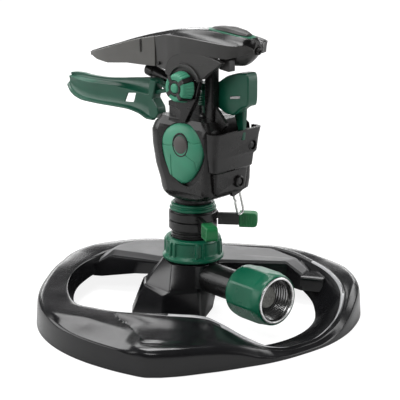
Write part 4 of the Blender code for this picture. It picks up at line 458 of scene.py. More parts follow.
# bridge: foot, ridge and top of each column, and where the top face proper begins if a ramp comes first
bridge = dict(
    heading=math.radians(-13.4), middle=(-5, 50, 27.0), step=0.5,
    columns=[((-75.5, 28, 10), (-70.8, 31.6, 24.2), (-68.8, 37.7, 28)),
             ((-50, 28, 14), (-48.5, 28.2, 24.2), (-47, 34, 28)),
             ((-32, 27, 15), (-31, 25, 24.4), (-30, 29.4, 28)),
             ((-10, 26, 15), (-10, 24, 25), (-10, 27, 28)),
             ((14.7, 31, 13), (14.7, 31, 26.3), (14.7, 32.9, 28)),
             ((60, 35.5, 11), (59.4, 37.9, 26.4), (58.5, 39.4, 28)),
             ((71.5, 30.5, 9.8), (71.5, 31.8, 19.4), (71.5, 34.5, 21.2), (60.0, 41.5, 28)),
             ((80, 44, 16), (76, 42, 20.0), (73.5, 41, 22.4), (63.0, 46.0, 27.8)),
             ((72, 58, 20), (68, 55, 24.2), (64, 52.5, 26.4)),
             ((45, 80, 21), (43.5, 75.5, 24.8), (41.3, 71.9, 26.3)),
             ((0, 83, 21), (0, 77, 24.4), (0, 73, 25.8)),
             ((-43, 80, 21), (-42, 77.5, 24.6), (-41.6, 74.9, 26)),
             ((-62, 72, 21), (-60, 70, 24.8), (-58.4, 67.6, 26.4)),
             ((-77, 55, 20), (-73, 55, 24.4), (-68.8, 54.4, 27)),
             ((-87, 42, 18), (-83, 43, 20.4), (-80, 43.5, 21.6), (-69.2, 46, 27.5)),
             ((-82, 28, 10), (-79.6, 28.8, 19.6), (-78, 31.0, 20.8), (-68.9, 39.0, 27.9))])


def bridgePoints(look):
    # Foot, ridge, groove at the top's foot, top, inner edge of the ramp, then the middle of the deck.
    middle = np.array(look["middle"], float)
    rows = []
    for foot, ridge, top, *inner in look["columns"]:
        foot, ridge, top = (np.array(q, float) for q in (foot, ridge, top))
        groove = np.array([*(0.8 * top + 0.2 * ridge)[:2], ridge[2] - look["step"] * 0.4])
        rim = np.array(inner[0], float) if inner else 0.94 * top + 0.06 * middle
        rows.append((foot, ridge, groove, top, rim, middle))
    return columnPoints(rows, [0, 0.16, 0.12, 0.10, 0.06, 0], 0.05)


def sheenTopFaces(row, column):
    # Columns from the groove inwards: the deck's top, which wears the painted sheen.
    return column >= 15


deckPlan = turnedPlan(bridgePoints(bridge), bridge["heading"])
deck = addPiece("bridgeDeck", gridMesh(riserPoints(deckPlan), "fan", sheenTopFaces))
# the top is painted pale grey as sheen, while the walls stay glossy black
settle(deck, "black_gloss", body="base", smooth=24.0, second="deck_top_painted_sheen")

# shelf between the right ramp and the ring
shelf = dict(
    middle=(79.5, 37.5, 20.5),
    columns=[((70, 31.2, 9.7), (70, 31.2, 18.6), (70.0, 32.4, 19.9)),
             ((87.5, 30.2, 9.7), (87.5, 30.2, 18.6), (87.5, 31.6, 19.9)),
             ((92, 44, 12), (91, 43.5, 19.0), (90, 43, 20.6)),
             ((72, 44, 12), (72, 44, 19.6), (72.6, 43, 21.2))])
shelfRows = [(*c, shelf["middle"]) for c in shelf["columns"]]
shelfPlan = turnedPlan(columnPoints(shelfRows, [0, 0.3, 0.3, 0], 0.06), bridge["heading"])
shelfBody = addPiece("bridgeShelf", gridMesh(riserPoints(shelfPlan), "fan"))
settle(shelfBody, "black_gloss", body="base", smooth=30.0)
print("bridge laid")


# pedestal: foot, edge of the raised pad, where the wall above starts, top under the nut; softness of
# each column's own edge; share of the top's radius at which its inner hole starts
pedestal = dict(
    columns=[((-42.6, -6.4, 0.4), (-34.0, -7.4, 21.4), (-32.6, -6.6, 22.3), (-20.4, 0.5, 38.7)),
             ((-21.4, -33.2, 0.4), (-20.6, -30.0, 21.2), (-16.0, -27.0, 22.6), (-15.0, -14.6, 38.7)),
             ((5.0, -25.4, 0.4), (3.2, -22.4, 21.2), (2.4, -20.8, 22.8), (2.0, -20.6, 38.7)),
             ((5.8, -21.6, 0.4), (5.2, -20.2, 20.6), (5.6, -19.8, 22.8), (8.0, -19.0, 38.7)),
             ((7.6, -19.4, 0.4), (11.6, -16.2, 17.0), (13.0, -15.0, 24.0), (15.6, -13.6, 38.7)),
             ((15, 8, 0.4), (18.4, 9.0, 17.0), (19.6, 8.6, 24.0), (19.0, 8.4, 38.7)),
             ((10, 27, 0.4), (10, 27, 17), (9, 23, 27), (7, 19.4, 38.7)),
             ((-26, 27, 0.4), (-26, 27, 17), (-20, 22, 27), (-9, 18.6, 38.7)),
             ((-43, 10, 0.4), (-35, 9, 21.4), (-33, 9, 22.3), (-19.6, 7, 38.7))],
    around=[0.03, 0.05, 0.04, 0.1, 0.3, 0.3, 0.3, 0.3, 0.1], inner=0.72)
tops = [c[3] for c in pedestal["columns"]]
inner = [(pedestal["inner"] * x, pedestal["inner"] * y, z) for x, y, z in tops]
pedestalRows = [(*c, q) for c, q in zip(pedestal["columns"], inner)]
pedestalPlan = columnPoints(pedestalRows, [0, 0.07, 0.10, 0.04, 0], pedestal["around"])
pedestalBody = addPiece("pedestalShell", gridMesh(riserPoints(pedestalPlan), "fan"))
settle(pedestalBody, "black_gloss", body="base", smooth=24.0)
print("pedestal laid")


# hose coupling: eight soft facets between a rounded rear shoulder and the front chamfer
coupling = dict(
    profile=[(10.9, 48.6), (14.6, 48.6), (17.3, 51.8), (18.3, 58.0), (18.3, 75.2), (16.9, 81.6),
             (16.3, 82.6), (16.1, 81.2), (15.1, 81.1), (15.1, 51.5), (10.9, 51.5)],
    facets=8, turn=math.radians(12.0))


def facetWave(a, r, z):
    # Radius cut back to a polygon's sides: 1.015 r cos(half) / cos(angle from the side's middle), in
    # full from 56 to 74 mm.
    half = math.pi / coupling["facets"]
    off = (a - coupling["turn"]) % (2 * half) - half
    flat = np.cos(half) / np.cos(off) * 1.015
    weight = ramp(z, 50.5, 56.0) * (1 - ramp(z, 74.0, 79.0)) * ramp(r, 15.4, 16.2)
    return r * (1 - weight * np.clip(1 - flat, 0, None))


couplingGrid = turnedMesh(coupling["profile"], inletPoints, 384, 0.16, 6, facetWave)
settle(addPiece("couplingBody", couplingGrid), "green_nut", "hose_coupling", smooth=24.0)

# hose thread in its plated insert: radii and places along the inlet
thread = dict(
    pitch=2.2, depth=0.75, back=57.0, start=62.0, end=80.6, radius=13.4, steps=240,
    outer=[(14.2, 82.6), (14.8, 81.4), (14.8, 57.0)],
    rim=[(13.9, 82.0), (14.3, 82.9), (15.3, 82.9), (15.8, 82.4), (15.8, 81.4), (14.6, 81.2)])


def threadPoints(look):
    # Bore with a ridge that climbs one pitch each turn and fades at both ends, then the outer side.
    a = fullTurn(look["steps"])
    z = np.linspace(look["back"], look["end"] + 1.2, 150)[None, :]
    turns = (z / look["pitch"] - a / math.tau) % 1.0
    ridge = np.clip(1.25 - np.abs(turns - 0.5) * 4.0, 0, 1)
    fade = ramp(z, look["start"], look["start"] + 1.5) * (1 - ramp(z, look["end"] - 1.4, look["end"] - 0.2))
    bore = look["radius"] - look["depth"] * ridge * fade
    outer = np.array(look["outer"]).T[:, None, :] + 0 * a
    r = np.concatenate([bore + 0.35 * ramp(z, 80.4, 81.8), outer[0]], 1)
    return polar(r, a, np.concatenate([z + 0 * a, outer[1]], 1))


insert = addPiece("threadSleeve", gridMesh(inletPoints(threadPoints(thread)), "ring"))
# the thread's bore wears chrome darkened as painted shade, beside the bright plated rim
settle(insert, "thread_dark", "thread_insert", smooth=50.0)
rim = turnedMesh(thread["rim"], inletPoints, thread["steps"])
settle(addPiece("threadRim", rim), "chrome", body="coupling", smooth=50.0)
print("coupling turned")

# union nut: a bead below, pairs of ribs beside sunk panels
nut = dict(
    profile=[(16.7, 40.0), (20.6, 40.0), (21.2, 40.7), (21.2, 42.2), (20.1, 43.2), (19.9, 44.2),
             (19.7, 53.2), (19.0, 54.7), (17.6, 55.3), (15.3, 55.3), (15.3, 53.5), (16.7, 53.5)],
    lugs=6, phase=14.0, rib=0.45, gutter=0.5, panel=0.95)


def nutWave(a, r, z):
    # Ribs stand proud at each side of a lug, the gutter between them is sunk, and so are the panels.
    pitch = 360.0 / nut["lugs"]
    phase = (np.degrees(a) - nut["phase"] + 90.0) % pitch
    off = np.minimum(phase, pitch - phase)
    rib = ramp(off, 2.4, 3.6) * (1 - ramp(off, 7.6, 8.8))
    gutter = 1 - ramp(off, 2.4, 3.6)
    panel = ramp(off, 8.2, 10.0)
    tall = ramp(z, 43.0, 44.4) * (1 - ramp(z, 52.6, 53.8)) * ramp(r, 17.6, 18.2)
    return r + tall * (nut["rib"] * rib - nut["gutter"] * gutter - nut["panel"] * panel)


nutBody = addPiece("nutBody", turnedMesh(nut["profile"], riserPoints, 720, 0.22, 6, nutWave))
settle(nutBody, "green_nut", "union_nut", smooth=30.0)

# bearing sleeve with its clamp thread showing below the collars
sleeve = dict(radius=15.0, pitch=1.9, depth=0.9, steps=240,
              ends=[(11.0, 74.2), (11.0, 51.8), (16.4, 51.8), (16.4, 53.4)])


def sleevePoints(look):
    # Outer side with a groove that climbs one pitch each turn between 54.5 and 60.5 mm.
    a = fullTurn(look["steps"])
    z = np.concatenate([np.linspace(53.6, 61.4, 90), [73.6, 74.1]])[None, :]
    turns = (z / look["pitch"] - a / math.tau) % 1.0
    groove = np.clip(1.3 - np.abs(turns - 0.5) * 3.4, 0, 1) * ramp(z, 54.2, 55.0) * (1 - ramp(z, 60.2, 61.0))
    side = look["radius"] - look["depth"] * groove - 0.6 * ramp(z, 73.55, 74.2)
    ends = np.array(look["ends"]).T[:, None, :] + 0 * a
    r = np.concatenate([side, ends[0]], 1)
    return polar(r, a, np.concatenate([z + 0 * a, ends[1]], 1))


sleeveBody = addPiece("sleeveBody", gridMesh(riserPoints(sleevePoints(sleeve)), "ring"))
settle(sleeveBody, "black_tube", "bearing_sleeve", smooth=50.0)
print("riser pieces turned")


# head pieces: points are (s forward, t sideways, z up) in millimetres
armPivot = -14.5  # s of the arm's pin
knobAxis = (-12.0, 163.5)  # s and z of the range knob's axis
capMiddle = (-11.1, 124.5)  # s and z of the side cover's cap


def insetOutline(points, distance):
    # Each corner moves inwards along the mean of its two edges' inward normals.
    edge = np.roll(points, -1, 0) - points
    normal = np.stack([-edge[:, 1], edge[:, 0]], -1) / np.linalg.norm(edge, axis=1, keepdims=True)
    x, y = points.T
    turn = np.sign(np.sum(x * np.roll(y, -1) - np.roll(x, -1) * y))
    mean = normal + np.roll(normal, 1, 0)
    mean /= np.maximum((mean ** 2).sum(1, keepdims=True) / 2, 0.6)
    return points + turn * distance * mean


def plateMesh(outline, near, far, edge=0.4, soft=0.12):
    # Outline (s, z) between two depths t, its corners rounded and both rims bevelled.
    path = roundedPath(np.array(outline, float), soft, 4, closed=True)
    small = insetOutline(path, edge)
    rows = [(small, near), (path, near + edge), (path, far - edge), (small, far)]
    return gridMesh(headFrame(np.stack([np.insert(q, 1, depth, -1) for q, depth in rows])))


def carve(obj, *cutters):
    # The object's mesh less the cutters, which are removed.
    for cutter in cutters:
        mod = obj.modifiers.new("carve", "BOOLEAN")
        mod.object, mod.solver, mod.operation = cutter, "EXACT", "DIFFERENCE"
        whole = bpy.data.meshes.new_from_object(obj.evaluated_get(bpy.context.evaluated_depsgraph_get()))
        obj.modifiers.clear()
        obj.data = whole
        bpy.data.objects.remove(cutter)


# impact arm: blade stations of s, then (t, z) of the top, of the crease and of the lower edge;
# finger rows of z, s at both sides, t at both sides; hub profile of radius and z
arm = dict(
    blade=[(125.4, -4.6, 153.0, -1.4, 150.6, -0.4, 143.6), (121, -4.4, 153.8, -0.4, 150.2, 1.0, 140.0),
           (113, -4.0, 154.2, 1.4, 149.9, 2.8, 137.2), (104, -3.6, 153.8, 2.5, 149.7, 3.8, 135.9),
           (90, -3.2, 154.0, 3.2, 150.2, 4.0, 135.7), (75, -3.0, 155.3, 3.2, 150.6, 4.2, 136.0),
           (60, -3.0, 157.4, 3.0, 149.8, 4.2, 136.2), (47, -3.0, 159.0, 2.6, 148.7, 4.2, 134.6),
           (38, -3.0, 159.9, 2.2, 148.1, 4.2, 131.8), (33.2, -3.0, 160.2, 2.0, 147.8, 4.2, 131.8)],
    window=[(60.7, 147.0), (51.7, 148.2), (54.1, 141.2), (63.2, 140.5)],
    end=[(36.0, 160.6), (30.1, 159.6), (32.2, 152.1), (33.6, 147.0), (28.8, 141.2), (28.1, 136.9),
         (31.0, 133.4), (36.6, 131.6), (38.5, 146.0), (37.5, 153.0)],
    bars=[[(31.5, 160.2), (31.5, 157.8), (22.0, 152.8), (-14.0, 152.2), (-14.0, 156.6), (22.5, 156.0)],
          [(33.4, 152.4), (33.4, 149.6), (22.0, 152.4), (22.0, 155.4)]],
    weight=[(-18, 163.0), (-23, 164.5), (-27.7, 166.4), (-34.5, 171.0), (-44, 174.2), (-53.4, 174.8),
            (-53.4, 153.4), (-47.5, 151.6), (-40.4, 145.6), (-33.5, 146.2), (-24, 150.5), (-18.5, 157)],
    insert=[(-38.0, 158.2), (-38.0, 156.2), (-46.6, 157.4), (-46.6, 159.8)],
    finger=[(152, -32.6, -43.4, -6.6, -2.0), (144, -35.0, -43.2, -6.4, -2.4),
            (136, -37.6, -42.6, -6.2, -2.8), (128, -38.8, -42.0, -6.0, -3.2)],
    hub=[(2.4, 143.4), (4.3, 143.4), (4.3, 158.8), (7.2, 159.2), (7.4, 160.0), (6.7, 160.6), (7.4, 161.2),
         (7.4, 162.0), (6.7, 162.6), (7.2, 163.2), (6.9, 163.9), (2.4, 163.9)])


def bladePoints(look):
    # Section of each station: flange, lip, hollow upper band, crease, lower face, bottom lip and back.
    rows = np.array(look["blade"])
    s = np.linspace(rows[-1, 0], rows[0, 0], 90)
    topT, topZ, creaseT, creaseZ, lowT, lowZ = steadyCurve(rows[::-1, 0], rows[::-1, 1:], s).T
    section = [(topT - 2.2, topZ), (topT + 1.7, topZ + 0.1), (topT + 1.5, topZ - 1.3),
               (0.5 * (topT + creaseT) - 0.9, 0.5 * (topZ + creaseZ) - 0.8),
               (creaseT + 0.5, creaseZ + 0.1), (creaseT + 0.1, creaseZ - 1.1),
               (0.5 * (creaseT + lowT) - 0.9, 0.5 * (creaseZ + lowZ)),
               (lowT - 0.5, lowZ + 2.6), (lowT + 1.5, lowZ + 1.2), (lowT + 1.5, lowZ), (lowT - 2.0, lowZ),
               (creaseT - 2.2, creaseZ)]
    points = np.stack([np.stack([s, a, b], -1) for a, b in section], 1)
    return roundedPath(points, [0.2, 0.2, 0.3, 0.5, 0.2, 0.25, 0.5, 0.3, 0.25, 0.3, 0.2, 0.4], 4, closed=True)


def pinPoints(points):
    # Points about the arm's pin to the frame.
    return headFrame(points + (armPivot, 0.0, 0.0))


def fingerPoints(look):
    # Rounded rectangle at each row's height.
    z, rear, front, left, right = np.array(look["finger"], float).T[:, :, None]
    sides = ((rear, left), (front, left), (front, right), (rear, right))
    corners = [np.concatenate([s, depth, z], -1) for s, depth in sides]
    return roundedPath(np.stack(corners, 1), 0.2, 3, closed=True)


blade = addPiece("armBlade", gridMesh(headFrame(bladePoints(arm))))
carve(blade, addPiece("bladeCutter", plateMesh(arm["window"], -12, 14, 0.1, 0.08)))
armRest = addPiece("armBody",
                   plateMesh(arm["end"], -3.4, 5.0, 0.5),
                   plateMesh(arm["bars"][0], -2.0, 2.4, 0.4, 0.06),
                   plateMesh(arm["bars"][1], -2.2, 2.6, 0.4, 0.06),
                   plateMesh(arm["weight"], -5.0, 5.0, 0.8, 0.28),
                   gridMesh(headFrame(fingerPoints(arm))),
                   turnedMesh(arm["hub"], pinPoints, 96, 0.2, 3))
settle(blade, "green_dark", "impact_arm")
settle(armRest, "green_dark", body="arm")
weightPlug = addPiece("weightPlug", plateMesh(arm["insert"], 2.0, 5.35, 0.3, 0.3))
settle(weightPlug, "thread_dark", "weight_insert", smooth=40.0)
print("arm shaped")


# return spring: green wire wound on the arm's hub
spring = dict(radius=6.3, wire=0.82, low=149.2, rise=8.6, turns=5)


def springPoints(look):
    # Helix about the arm's pin: radius + wire cos b outwards, low + rise per turn + wire sin b up.
    a = np.linspace(0, math.tau * look["turns"], 48 * look["turns"] + 1)[:, None]
    b = np.arange(10)[None, :] * math.tau / 10
    r = look["radius"] + look["wire"] * np.cos(b)
    z = look["low"] + look["rise"] * a / (math.tau * look["turns"]) + look["wire"] * np.sin(b)
    return polar(r, a, z)


springCoil = addPiece("springCoil", gridMesh(pinPoints(springPoints(spring))))
settle(springCoil, "green_nut", "arm_spring", smooth=60.0)

# hood and beak: distance ahead of the riser, half width, heights of the ridge, the crease and the skirt
hood = dict(
    rows=[(18.7, 17.0, 195.6, 192.6, 172.6), (8.0, 19.5, 197.6, 194.9, 171.8),
          (4.5, 20.4, 198.1, 195.3, 175.6), (-3.0, 21.5, 198.9, 195.7, 182.8),
          (-10.0, 22.2, 199.5, 195.8, 185.0), (-23.5, 22.2, 200.0, 195.4, 185.7),
          (-37.0, 21.2, 199.6, 194.6, 184.8), (-46.5, 19.0, 198.6, 193.8, 184.8),
          (-52.0, 15.6, 197.4, 193.4, 186.6), (-54.2, 9.6, 196.8, 193.2, 187.6),
          (-57.2, 5.4, 195.8, 191.2, 188.8)],
    beak=[(97.8, 2.6, 172.8, 172.0, 170.3), (85, 8.6, 176.8, 175.0, 168.8), (70, 12.5, 181.2, 179.2, 168.5),
          (48, 15.3, 188.0, 185.8, 171.4), (32, 16.3, 192.4, 189.9, 172.0),
          (19.3, 16.9, 195.4, 192.5, 172.8)],
    disc=[(5.9, 169.0), (5.9, 173.3), (3.7, 178.7), (-2.1, 183.0), (-12.0, 186.0), (-23.1, 186.4),
          (-35.4, 185.0), (-44.5, 182.6), (-42.4, 180.4), (-32.7, 173.9), (-27.0, 169.0)],
    slot=[(34.4, 189.6), (31.6, 189.6), (31.6, 180.4), (34.4, 180.4)],
    lug=[(-36.5, 184), (-36.5, 177), (-45.5, 176), (-45.5, 184)],
    # bulb below the rear end: s, half width, lowest, highest; where its plug's hole starts, and its slope
    bulb=[(-34, 8.0, 181.0, 194.8), (-38, 9.0, 177.8, 194.4), (-45.5, 9.0, 178.4, 194.2),
          (-52, 6.6, 182.2, 193.2), (-56.9, 3.9, 187.6, 192.4)],
    plug=(-50.2, 190.6), plugSlope=(0.981, 0.196),
    plugHole=[(0.01, -1.0), (2.75, -1.0), (2.75, 12.0), (0.01, 12.0)])


def hoodPoints(rows, count, flare):
    # Section: skirt, flank, crease, rim, groove, hollow deck and ridge on both sides, then the inside.
    rows = np.array(rows, float)
    s = np.linspace(rows[0, 0], rows[-1, 0], count)
    half, top, crease = steadyCurve(rows[::-1, 0], rows[::-1, 1:4], s).T
    skirt = np.interp(s, rows[::-1, 0], rows[::-1, 4])
    rise = top - crease
    foot = half - np.minimum(flare, 0.1 * half)
    side = [(foot, skirt), (0.5 * (foot + half) - 0.25, 0.4 * skirt + 0.6 * crease), (half, crease),
            (0.94 * half, crease + 0.35), (0.82 * half, crease - 0.5 * flare),
            (0.54 * half, crease + 0.2 * rise), (0.37 * half, top - 0.1 * rise)]
    lining = [(0.0 * half, top - 1.8), (0.7 * half, crease - 1.6), (foot - 0.1 * half, crease - 2.6),
              (foot - 0.1 * half, skirt)]
    loop = [(-y, z) for y, z in side] + [(0 * s, top)] + side[::-1]
    loop += lining[::-1] + [(-y, z) for y, z in lining[1:]]
    points = np.stack([np.stack([s, y, z], -1) for y, z in loop], 1)
    cuts = [0.04, 0.4, 0.06, 0.2, 0.3, 0.3, 0.14, 0.45, 0.14, 0.3, 0.3, 0.2, 0.06, 0.4, 0.04,  # outside
            0.04, 0.1, 0.1, 0.3, 0.1, 0.1, 0.04]  # inside
    return roundedPath(points, cuts, 3, closed=True)


def knobPoints(points):
    # Points about the knob's axis, the third coordinate sideways, to the frame.
    return headFrame(points[..., [0, 2, 1]] + (knobAxis[0], 0.0, knobAxis[1]))


def archMesh(inner, outer, start, stop, near, far):
    # Band of an annulus about the knob's axis between two angles and two depths.
    a = np.radians(np.linspace(start, stop, 60))[:, None]
    r, depth = np.array([(inner, near), (outer, near), (outer, far - 0.5), (outer - 0.5, far),
                         (inner + 0.3, far), (inner, far - 0.3)]).T
    return gridMesh(knobPoints(polar(r, a, depth)))


def bulbPoints(look):
    # Half ellipse below, closed by a flat lid at 0.9 of the half width.
    rows = np.array(look["bulb"])
    s = np.linspace(rows[0, 0], rows[-1, 0], 40)
    half, low, top = steadyCurve(rows[::-1, 0], rows[::-1, 1:], s).T[..., None]
    a = np.linspace(0, math.pi, 25)[None, :]
    under = np.stack([s[:, None] + 0 * a, -half * np.cos(a), low + 0.8 * half * (1 - np.sin(a))], -1)
    lid = np.stack([np.stack([s, side * 0.9 * half[:, 0], top[:, 0]], -1) for side in (1, -1)], 1)
    return np.concatenate([under, lid], 1)


def plugPoints(points):
    # Turned points whose third coordinate runs back and down along the plug, to the frame.
    c, d = hood["plugSlope"]
    s, z = hood["plug"]
    x, y, along = np.moveaxis(points, -1, 0)
    return headFrame(np.stack([s - c * along - d * y, x, z - d * along + c * y], -1))


def shadedDeckFaces(row, column):
    # Columns of the section from one rim over the ridge to the other, which wear the painted shade.
    return (column >= 15) & (column < 44)


hoodBody = addPiece("hoodShell",
                    gridMesh(headFrame(hoodPoints(hood["rows"], 120, 1.4)), second=shadedDeckFaces),
                    plateMesh(hood["disc"], 16.6, 20.9, 0.5, 0.25),
                    archMesh(13.0, 15.2, 20, 160, 18.8, 22.6),
                    plateMesh(hood["lug"], 8.5, 14.5, 0.4))
# the deck between the rims wears the painted shade
settle(hoodBody, "hood_black", "hood", smooth=26.0, second="hood_deck_painted_shade")
hoodTail = addPiece("hoodBulb", gridMesh(headFrame(bulbPoints(hood))))
carve(hoodTail, addPiece("plugCutter", turnedMesh(hood["plugHole"], plugPoints, 48, 0.02)))
settle(hoodTail, "hood_black", body="head", smooth=30.0)
beak = addPiece("beakShell", gridMesh(headFrame(hoodPoints(hood["beak"], 90, 0.3)), second=shadedDeckFaces))
# the beak's flanks are smoke grey, and its deck wears the painted shade
for key in ("beak_grey", "hood_deck_painted_shade"):
    beak.data.materials.append(finishes[key])
carve(beak, addPiece("slotCutter", plateMesh(hood["slot"], 13.0, 20.0, 0.1, 0.4)))
settle(beak, "beak_grey", "beak_flap", smooth=26.0, second="hood_deck_painted_shade")
print("hood shaped")

# range knob: a cone with four black spokes, ribbed pads between them and a round cap
knob = dict(
    front=30.3, back=22.4, inner=5.5, wide=10.4, narrow=8.7, pads=[8.0, 98.0, 188.0, 278.0], ribs=5,
    # radius and depth of the hub's profile and of a spoke's
    hub=[(0.01, 16.0), (2.6, 16.0), (2.6, 21.0), (10.0, 21.0), (10.3, 22.2), (5.2, 22.4), (5.2, 29.6),
         (4.6, 30.4), (3.6, 30.4), (3.5, 28.8), (0.01, 28.8)],
    spokes=[53.0, 143.0, 233.0, 323.0], spokeHalf=1.35,
    spoke=[(4.4, 22.0), (10.5, 22.0), (9.0, 29.6), (8.2, 30.5), (4.4, 30.5)])


def padMesh(middle, look):
    # Pad between two spokes: inner wall, crowned front and ribbed side on the cone.
    off = np.radians(np.linspace(-34, 34, 81))[:, None]
    rib = 0.34 * np.abs(np.cos(off * look["ribs"] * math.pi / (off[-1] - off[0])))
    back, front, narrow = look["back"], look["front"] - 0.1, look["narrow"]
    r = np.array([look["inner"], look["wide"], narrow + 0.2, narrow - 0.8, look["inner"]]) + 0 * off
    r[:, 1:3] += rib - 0.2
    depth = np.array([back, back, front - 0.9, front, front])
    path = roundedPath(np.stack([r, depth + 0 * off], -1), [0, 0.05, 0.3, 0.3, 0], 3, closed=True)
    return gridMesh(knobPoints(polar(path[..., 0], math.radians(middle) + off, path[..., 1])))


def spokeMesh(angle, look):
    # Spoke's profile at three places across it, turned to its angle about the knob's axis.
    across = np.linspace(-look["spokeHalf"], look["spokeHalf"], 3)[:, None]
    r, depth = roundedPath(np.array(look["spoke"]), 0.12, 3, closed=True).T
    spoke = np.stack(np.broadcast_arrays(r, across, depth), -1)
    return gridMesh(knobPoints(turnedPlan(spoke, math.radians(angle))))


for k, middle in enumerate(knob["pads"], 1):
    settle(addPiece("gripPad%d" % k, padMesh(middle, knob)), "green_pale", "knob_pad_%d" % k, smooth=34.0)
hubSpider = addPiece("hubSpider", turnedMesh(knob["hub"], knobPoints, 96, 0.1, 3),
                     *[spokeMesh(angle, knob) for angle in knob["spokes"]])
settle(hubSpider, "black_satin", "knob_hub", smooth=34.0)
print("knob shaped")

# side cover: domed shield with sunk lines, and its round cap's seat
cover = dict(
    outline=[(-9.3, 138.4), (-16.8, 138.2), (-22.6, 134.8), (-26.8, 129.1), (-28.7, 123.0), (-27.3, 115.6),
             (-23.8, 108.6), (-18.9, 102.0), (-13.5, 98.1), (-8.0, 96.8), (-2.0, 96.9), (2.4, 98.6),
             (5.1, 104.4), (7.9, 112.9), (10.0, 120.0), (10.2, 126.1), (8.6, 130.6), (3.9, 134.7),
             (-2.7, 137.2)],
    middle=(-11.1, 120.0), low=19.4, high=24.4, depth=0.55, half=0.34,
    lines=[[(6.6, 122.2), (-5.7, 123.3)], [(-2.3, 116.2), (-2.2, 99.8)],
           [(-15.6, 118.6), (-23.1, 114.8), (-23.7, 106)], [(-17.7, 127.7), (-22, 126.8), (-30.5, 128.1)]],
    # seat of the cap, an oval taller than wide: radius, and depth ahead of its own
    seat=[(5.9, -1.4), (7.2, -1.4), (7.2, 0.2), (6.9, 0.5), (6.3, 0.5), (5.9, 0.1)],
    seatDepth=24.0, seatTall=1.14)


def coverPoints(look):
    # Rings from the rim to the middle, raised like a shallow dome, less a groove along each line.
    rim = roundedPath(np.array(look["outline"]), 0.5, 24, closed=True)
    part = np.concatenate([[1.0, 1.0], np.linspace(0.995, 0.04, 110)])[:, None, None]
    plan = np.array(look["middle"]) + (rim - look["middle"]) * part
    rise = (1 - part[..., 0] ** 3.0) ** 0.62
    depth = look["low"] + 0.7 + (look["high"] - look["low"] - 0.7) * rise
    depth[0] = look["low"] - 1.2
    away = np.full(plan.shape[:2], 9.0)
    for line in look["lines"]:
        for a, b in zip(np.array(line[:-1], float), np.array(line[1:], float)):
            along = np.clip(((plan - a) @ (b - a)) / np.sum((b - a) ** 2), 0, 1)
            away = np.minimum(away, np.linalg.norm(plan - a - along[..., None] * (b - a), axis=-1))
    sunk = 1 - ramp(away, 0.5 * look["half"], 1.6 * look["half"])
    depth = depth - look["depth"] * sunk * (part[..., 0] < 0.995)
    return np.stack([plan[..., 0], depth, plan[..., 1]], -1)


def seatPoints(points):
    # Turned points about the cap's axis, taller than wide.
    s, z = capMiddle
    return headFrame(points[..., [0, 2, 1]] * (1.0, 1.0, cover["seatTall"]) + (s, cover["seatDepth"], z))


coverShield = addPiece("coverShield", gridMesh(headFrame(coverPoints(cover))))
settle(coverShield, "green_pale", "side_cover", smooth=40.0)
capSeat = addPiece("capSurround", turnedMesh(cover["seat"], seatPoints, 96))
settle(capSeat, "body_black", body="head", smooth=40.0)
print("cover laid")

# strainer: a cup with a speckled face
strainer = dict(
    profile=[(0.02, 58.0), (12.6, 57.4), (12.6, 59.0), (8.0, 60.4), (7.2, 73.4), (6.6, 74.2), (0.02, 74.2)],
    soft=[0, 0.1, 0.1, 0.1, 0.1, 0.1, 0])
cup = turnedMesh(strainer["profile"], inletPoints, 72, strainer["soft"], 3)
settle(addPiece("strainerDisc", cup), "strainer_grey", "inlet_strainer", smooth=40.0)

# the other nodes: their own meshes with softened edges
refined = dict(
    edge={"head_body": 0.9, "rear_housing": 0.6},
    finish={"head_body": "body_black", "rear_housing": "body_black", "rear_plug": "body_black",
            "hood_cap": "hood_black", "housing_screw": "black_tube", "trip_pin": "black_tube",
            "flap_pin": "black_tube"})
for name in sorted(set(nodes) - made):
    softEdges(name, refined["edge"].get(name, 0.3), refined["finish"].get(name))
print("nodes refined")


# studio: a paper floor and a world, each paler for the camera than for the part
studio = dict(half=6.0, drop=-0.0005, paper=0.55, shadow=0.25, seen=0.88, world=0.09)


def splitByCamera(tree, lit, seen, output):
    # Joins what lights the part and what the camera sees by Is Camera Ray.
    rays = tree.nodes.new("ShaderNodeLightPath")
    mix = tree.nodes.new("ShaderNodeMixShader")
    tree.links.new(rays.outputs["Is Camera Ray"], mix.inputs["Fac"])
    tree.links.new(lit, mix.inputs[1])
    tree.links.new(seen, mix.inputs[2])
    tree.links.new(mix.outputs["Shader"], tree.nodes[output].inputs["Surface"])


floorMesh = bpy.data.meshes.new("floor")
half, drop = studio["half"], studio["drop"]
corners = [(-half, -half, drop), (half, -half, drop), (half, half, drop), (-half, half, drop)]
floorMesh.from_pydata(corners, [], [(0, 1, 2, 3)])
floor = newObject("floor", floorMesh)
floorMat, floorTree, floorShader = nodeTree("paper")
floorShader.inputs["Base Color"].default_value = (*[studio["paper"]] * 3, 1.0)
floorShader.inputs["Roughness"].default_value = 0.9
floorShader.inputs["Specular IOR Level"].default_value = 0.1
paper = addNode(floorTree, "ShaderNodeEmission", Color=(1.0, 1.0, 1.0, 1.0), Strength=studio["seen"])
shadow = addNode(floorTree, "ShaderNodeBsdfDiffuse", Color=(*[studio["shadow"]] * 3, 1.0))
lifted = floorTree.nodes.new("ShaderNodeAddShader")
floorTree.links.new(shadow.outputs["BSDF"], lifted.inputs[0])
floorTree.links.new(paper.outputs["Emission"], lifted.inputs[1])
splitByCamera(floorTree, floorShader.outputs["BSDF"], lifted.outputs["Shader"], "Material Output")
floorMesh.materials.append(floorMat)

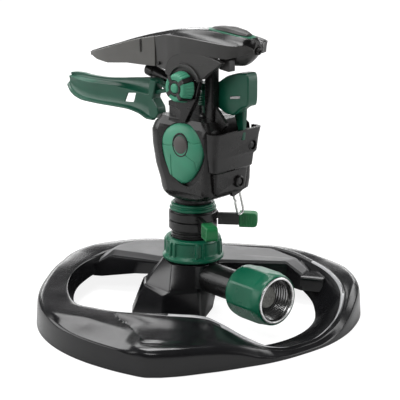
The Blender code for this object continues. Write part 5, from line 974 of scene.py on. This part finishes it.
world = bpy.data.worlds.new("studio")
bpy.context.scene.world = world
world.use_nodes = True
worldTree = world.node_tree
background = worldTree.nodes["Background"]
background.inputs["Color"].default_value = (1.0, 1.0, 1.0, 1.0)
background.inputs["Strength"].default_value = studio["world"]
white = addNode(worldTree, "ShaderNodeBackground", Color=(1.0, 1.0, 1.0, 1.0), Strength=1.0)
splitByCamera(worldTree, background.outputs["Background"], white.outputs["Background"], "World Output")


def softBox(name, place, aim, size, power):
    # Rectangular lamp at a place, facing another.
    data = bpy.data.lights.new(name, "AREA")
    data.shape = "RECTANGLE"
    data.size, data.size_y = size
    data.energy = power
    lamp = newObject(name, data)
    lamp.location = place
    lamp.rotation_euler = (Vector(aim) - Vector(place)).to_track_quat("-Z", "Y").to_euler()


# place, aim, size, power
lamps = dict(
    topBox=((-0.15, 0.2, 1.3), (0, 0, 0.05), (0.8, 0.6), 15.0),
    frontBox=((-0.35, -1.1, 1.25), (0, 0, 0.1), (0.9, 0.5), 8.0),
    rearBox=((-0.25, 0.95, 1.12), (0, 0, 0.1), (1.1, 0.5), 7.0),
    backBox=((-0.1, 2.6, 0.42), (0, 0, 0.05), (3.0, 0.35), 12.0),
    sideBox=((1.05, 0.9, 0.72), (0, 0, 0.05), (0.9, 0.6), 5.0),
    leftBox=((-1.45, 0.1, 0.62), (0, 0, 0.1), (1.5, 0.9), 12.0),
    rightBox=((1.4, -0.1, 0.45), (0, 0, 0.1), (0.7, 0.7), 6.0))
for name, (place, aim, size, power) in lamps.items():
    softBox(name, place, aim, size, power)

# camera: looks down by fall degrees from a distance in metres; aside and height in millimetres; focal
# length in pixels of the photograph's width
view = dict(fall=15.5, distance=0.95, aside=4.8, height=80.0, focal=1385.0, width=400.0, sensor=36.0)
fall = math.radians(view["fall"])
camera = bpy.data.cameras.new("camera")
cameraObject = newObject("camera", camera)
cameraObject.location = (riser[0] + view["aside"] * mm, riser[1] - view["distance"] * math.cos(fall),
                         view["height"] * mm + view["distance"] * math.sin(fall))
cameraObject.rotation_euler = (math.pi / 2 - fall, 0.0, 0.0)
camera.sensor_width = view["sensor"]
camera.lens = view["sensor"] * view["focal"] / view["width"]
bpy.context.scene.camera = cameraObject
bpy.context.scene.view_settings.view_transform = "Standard"
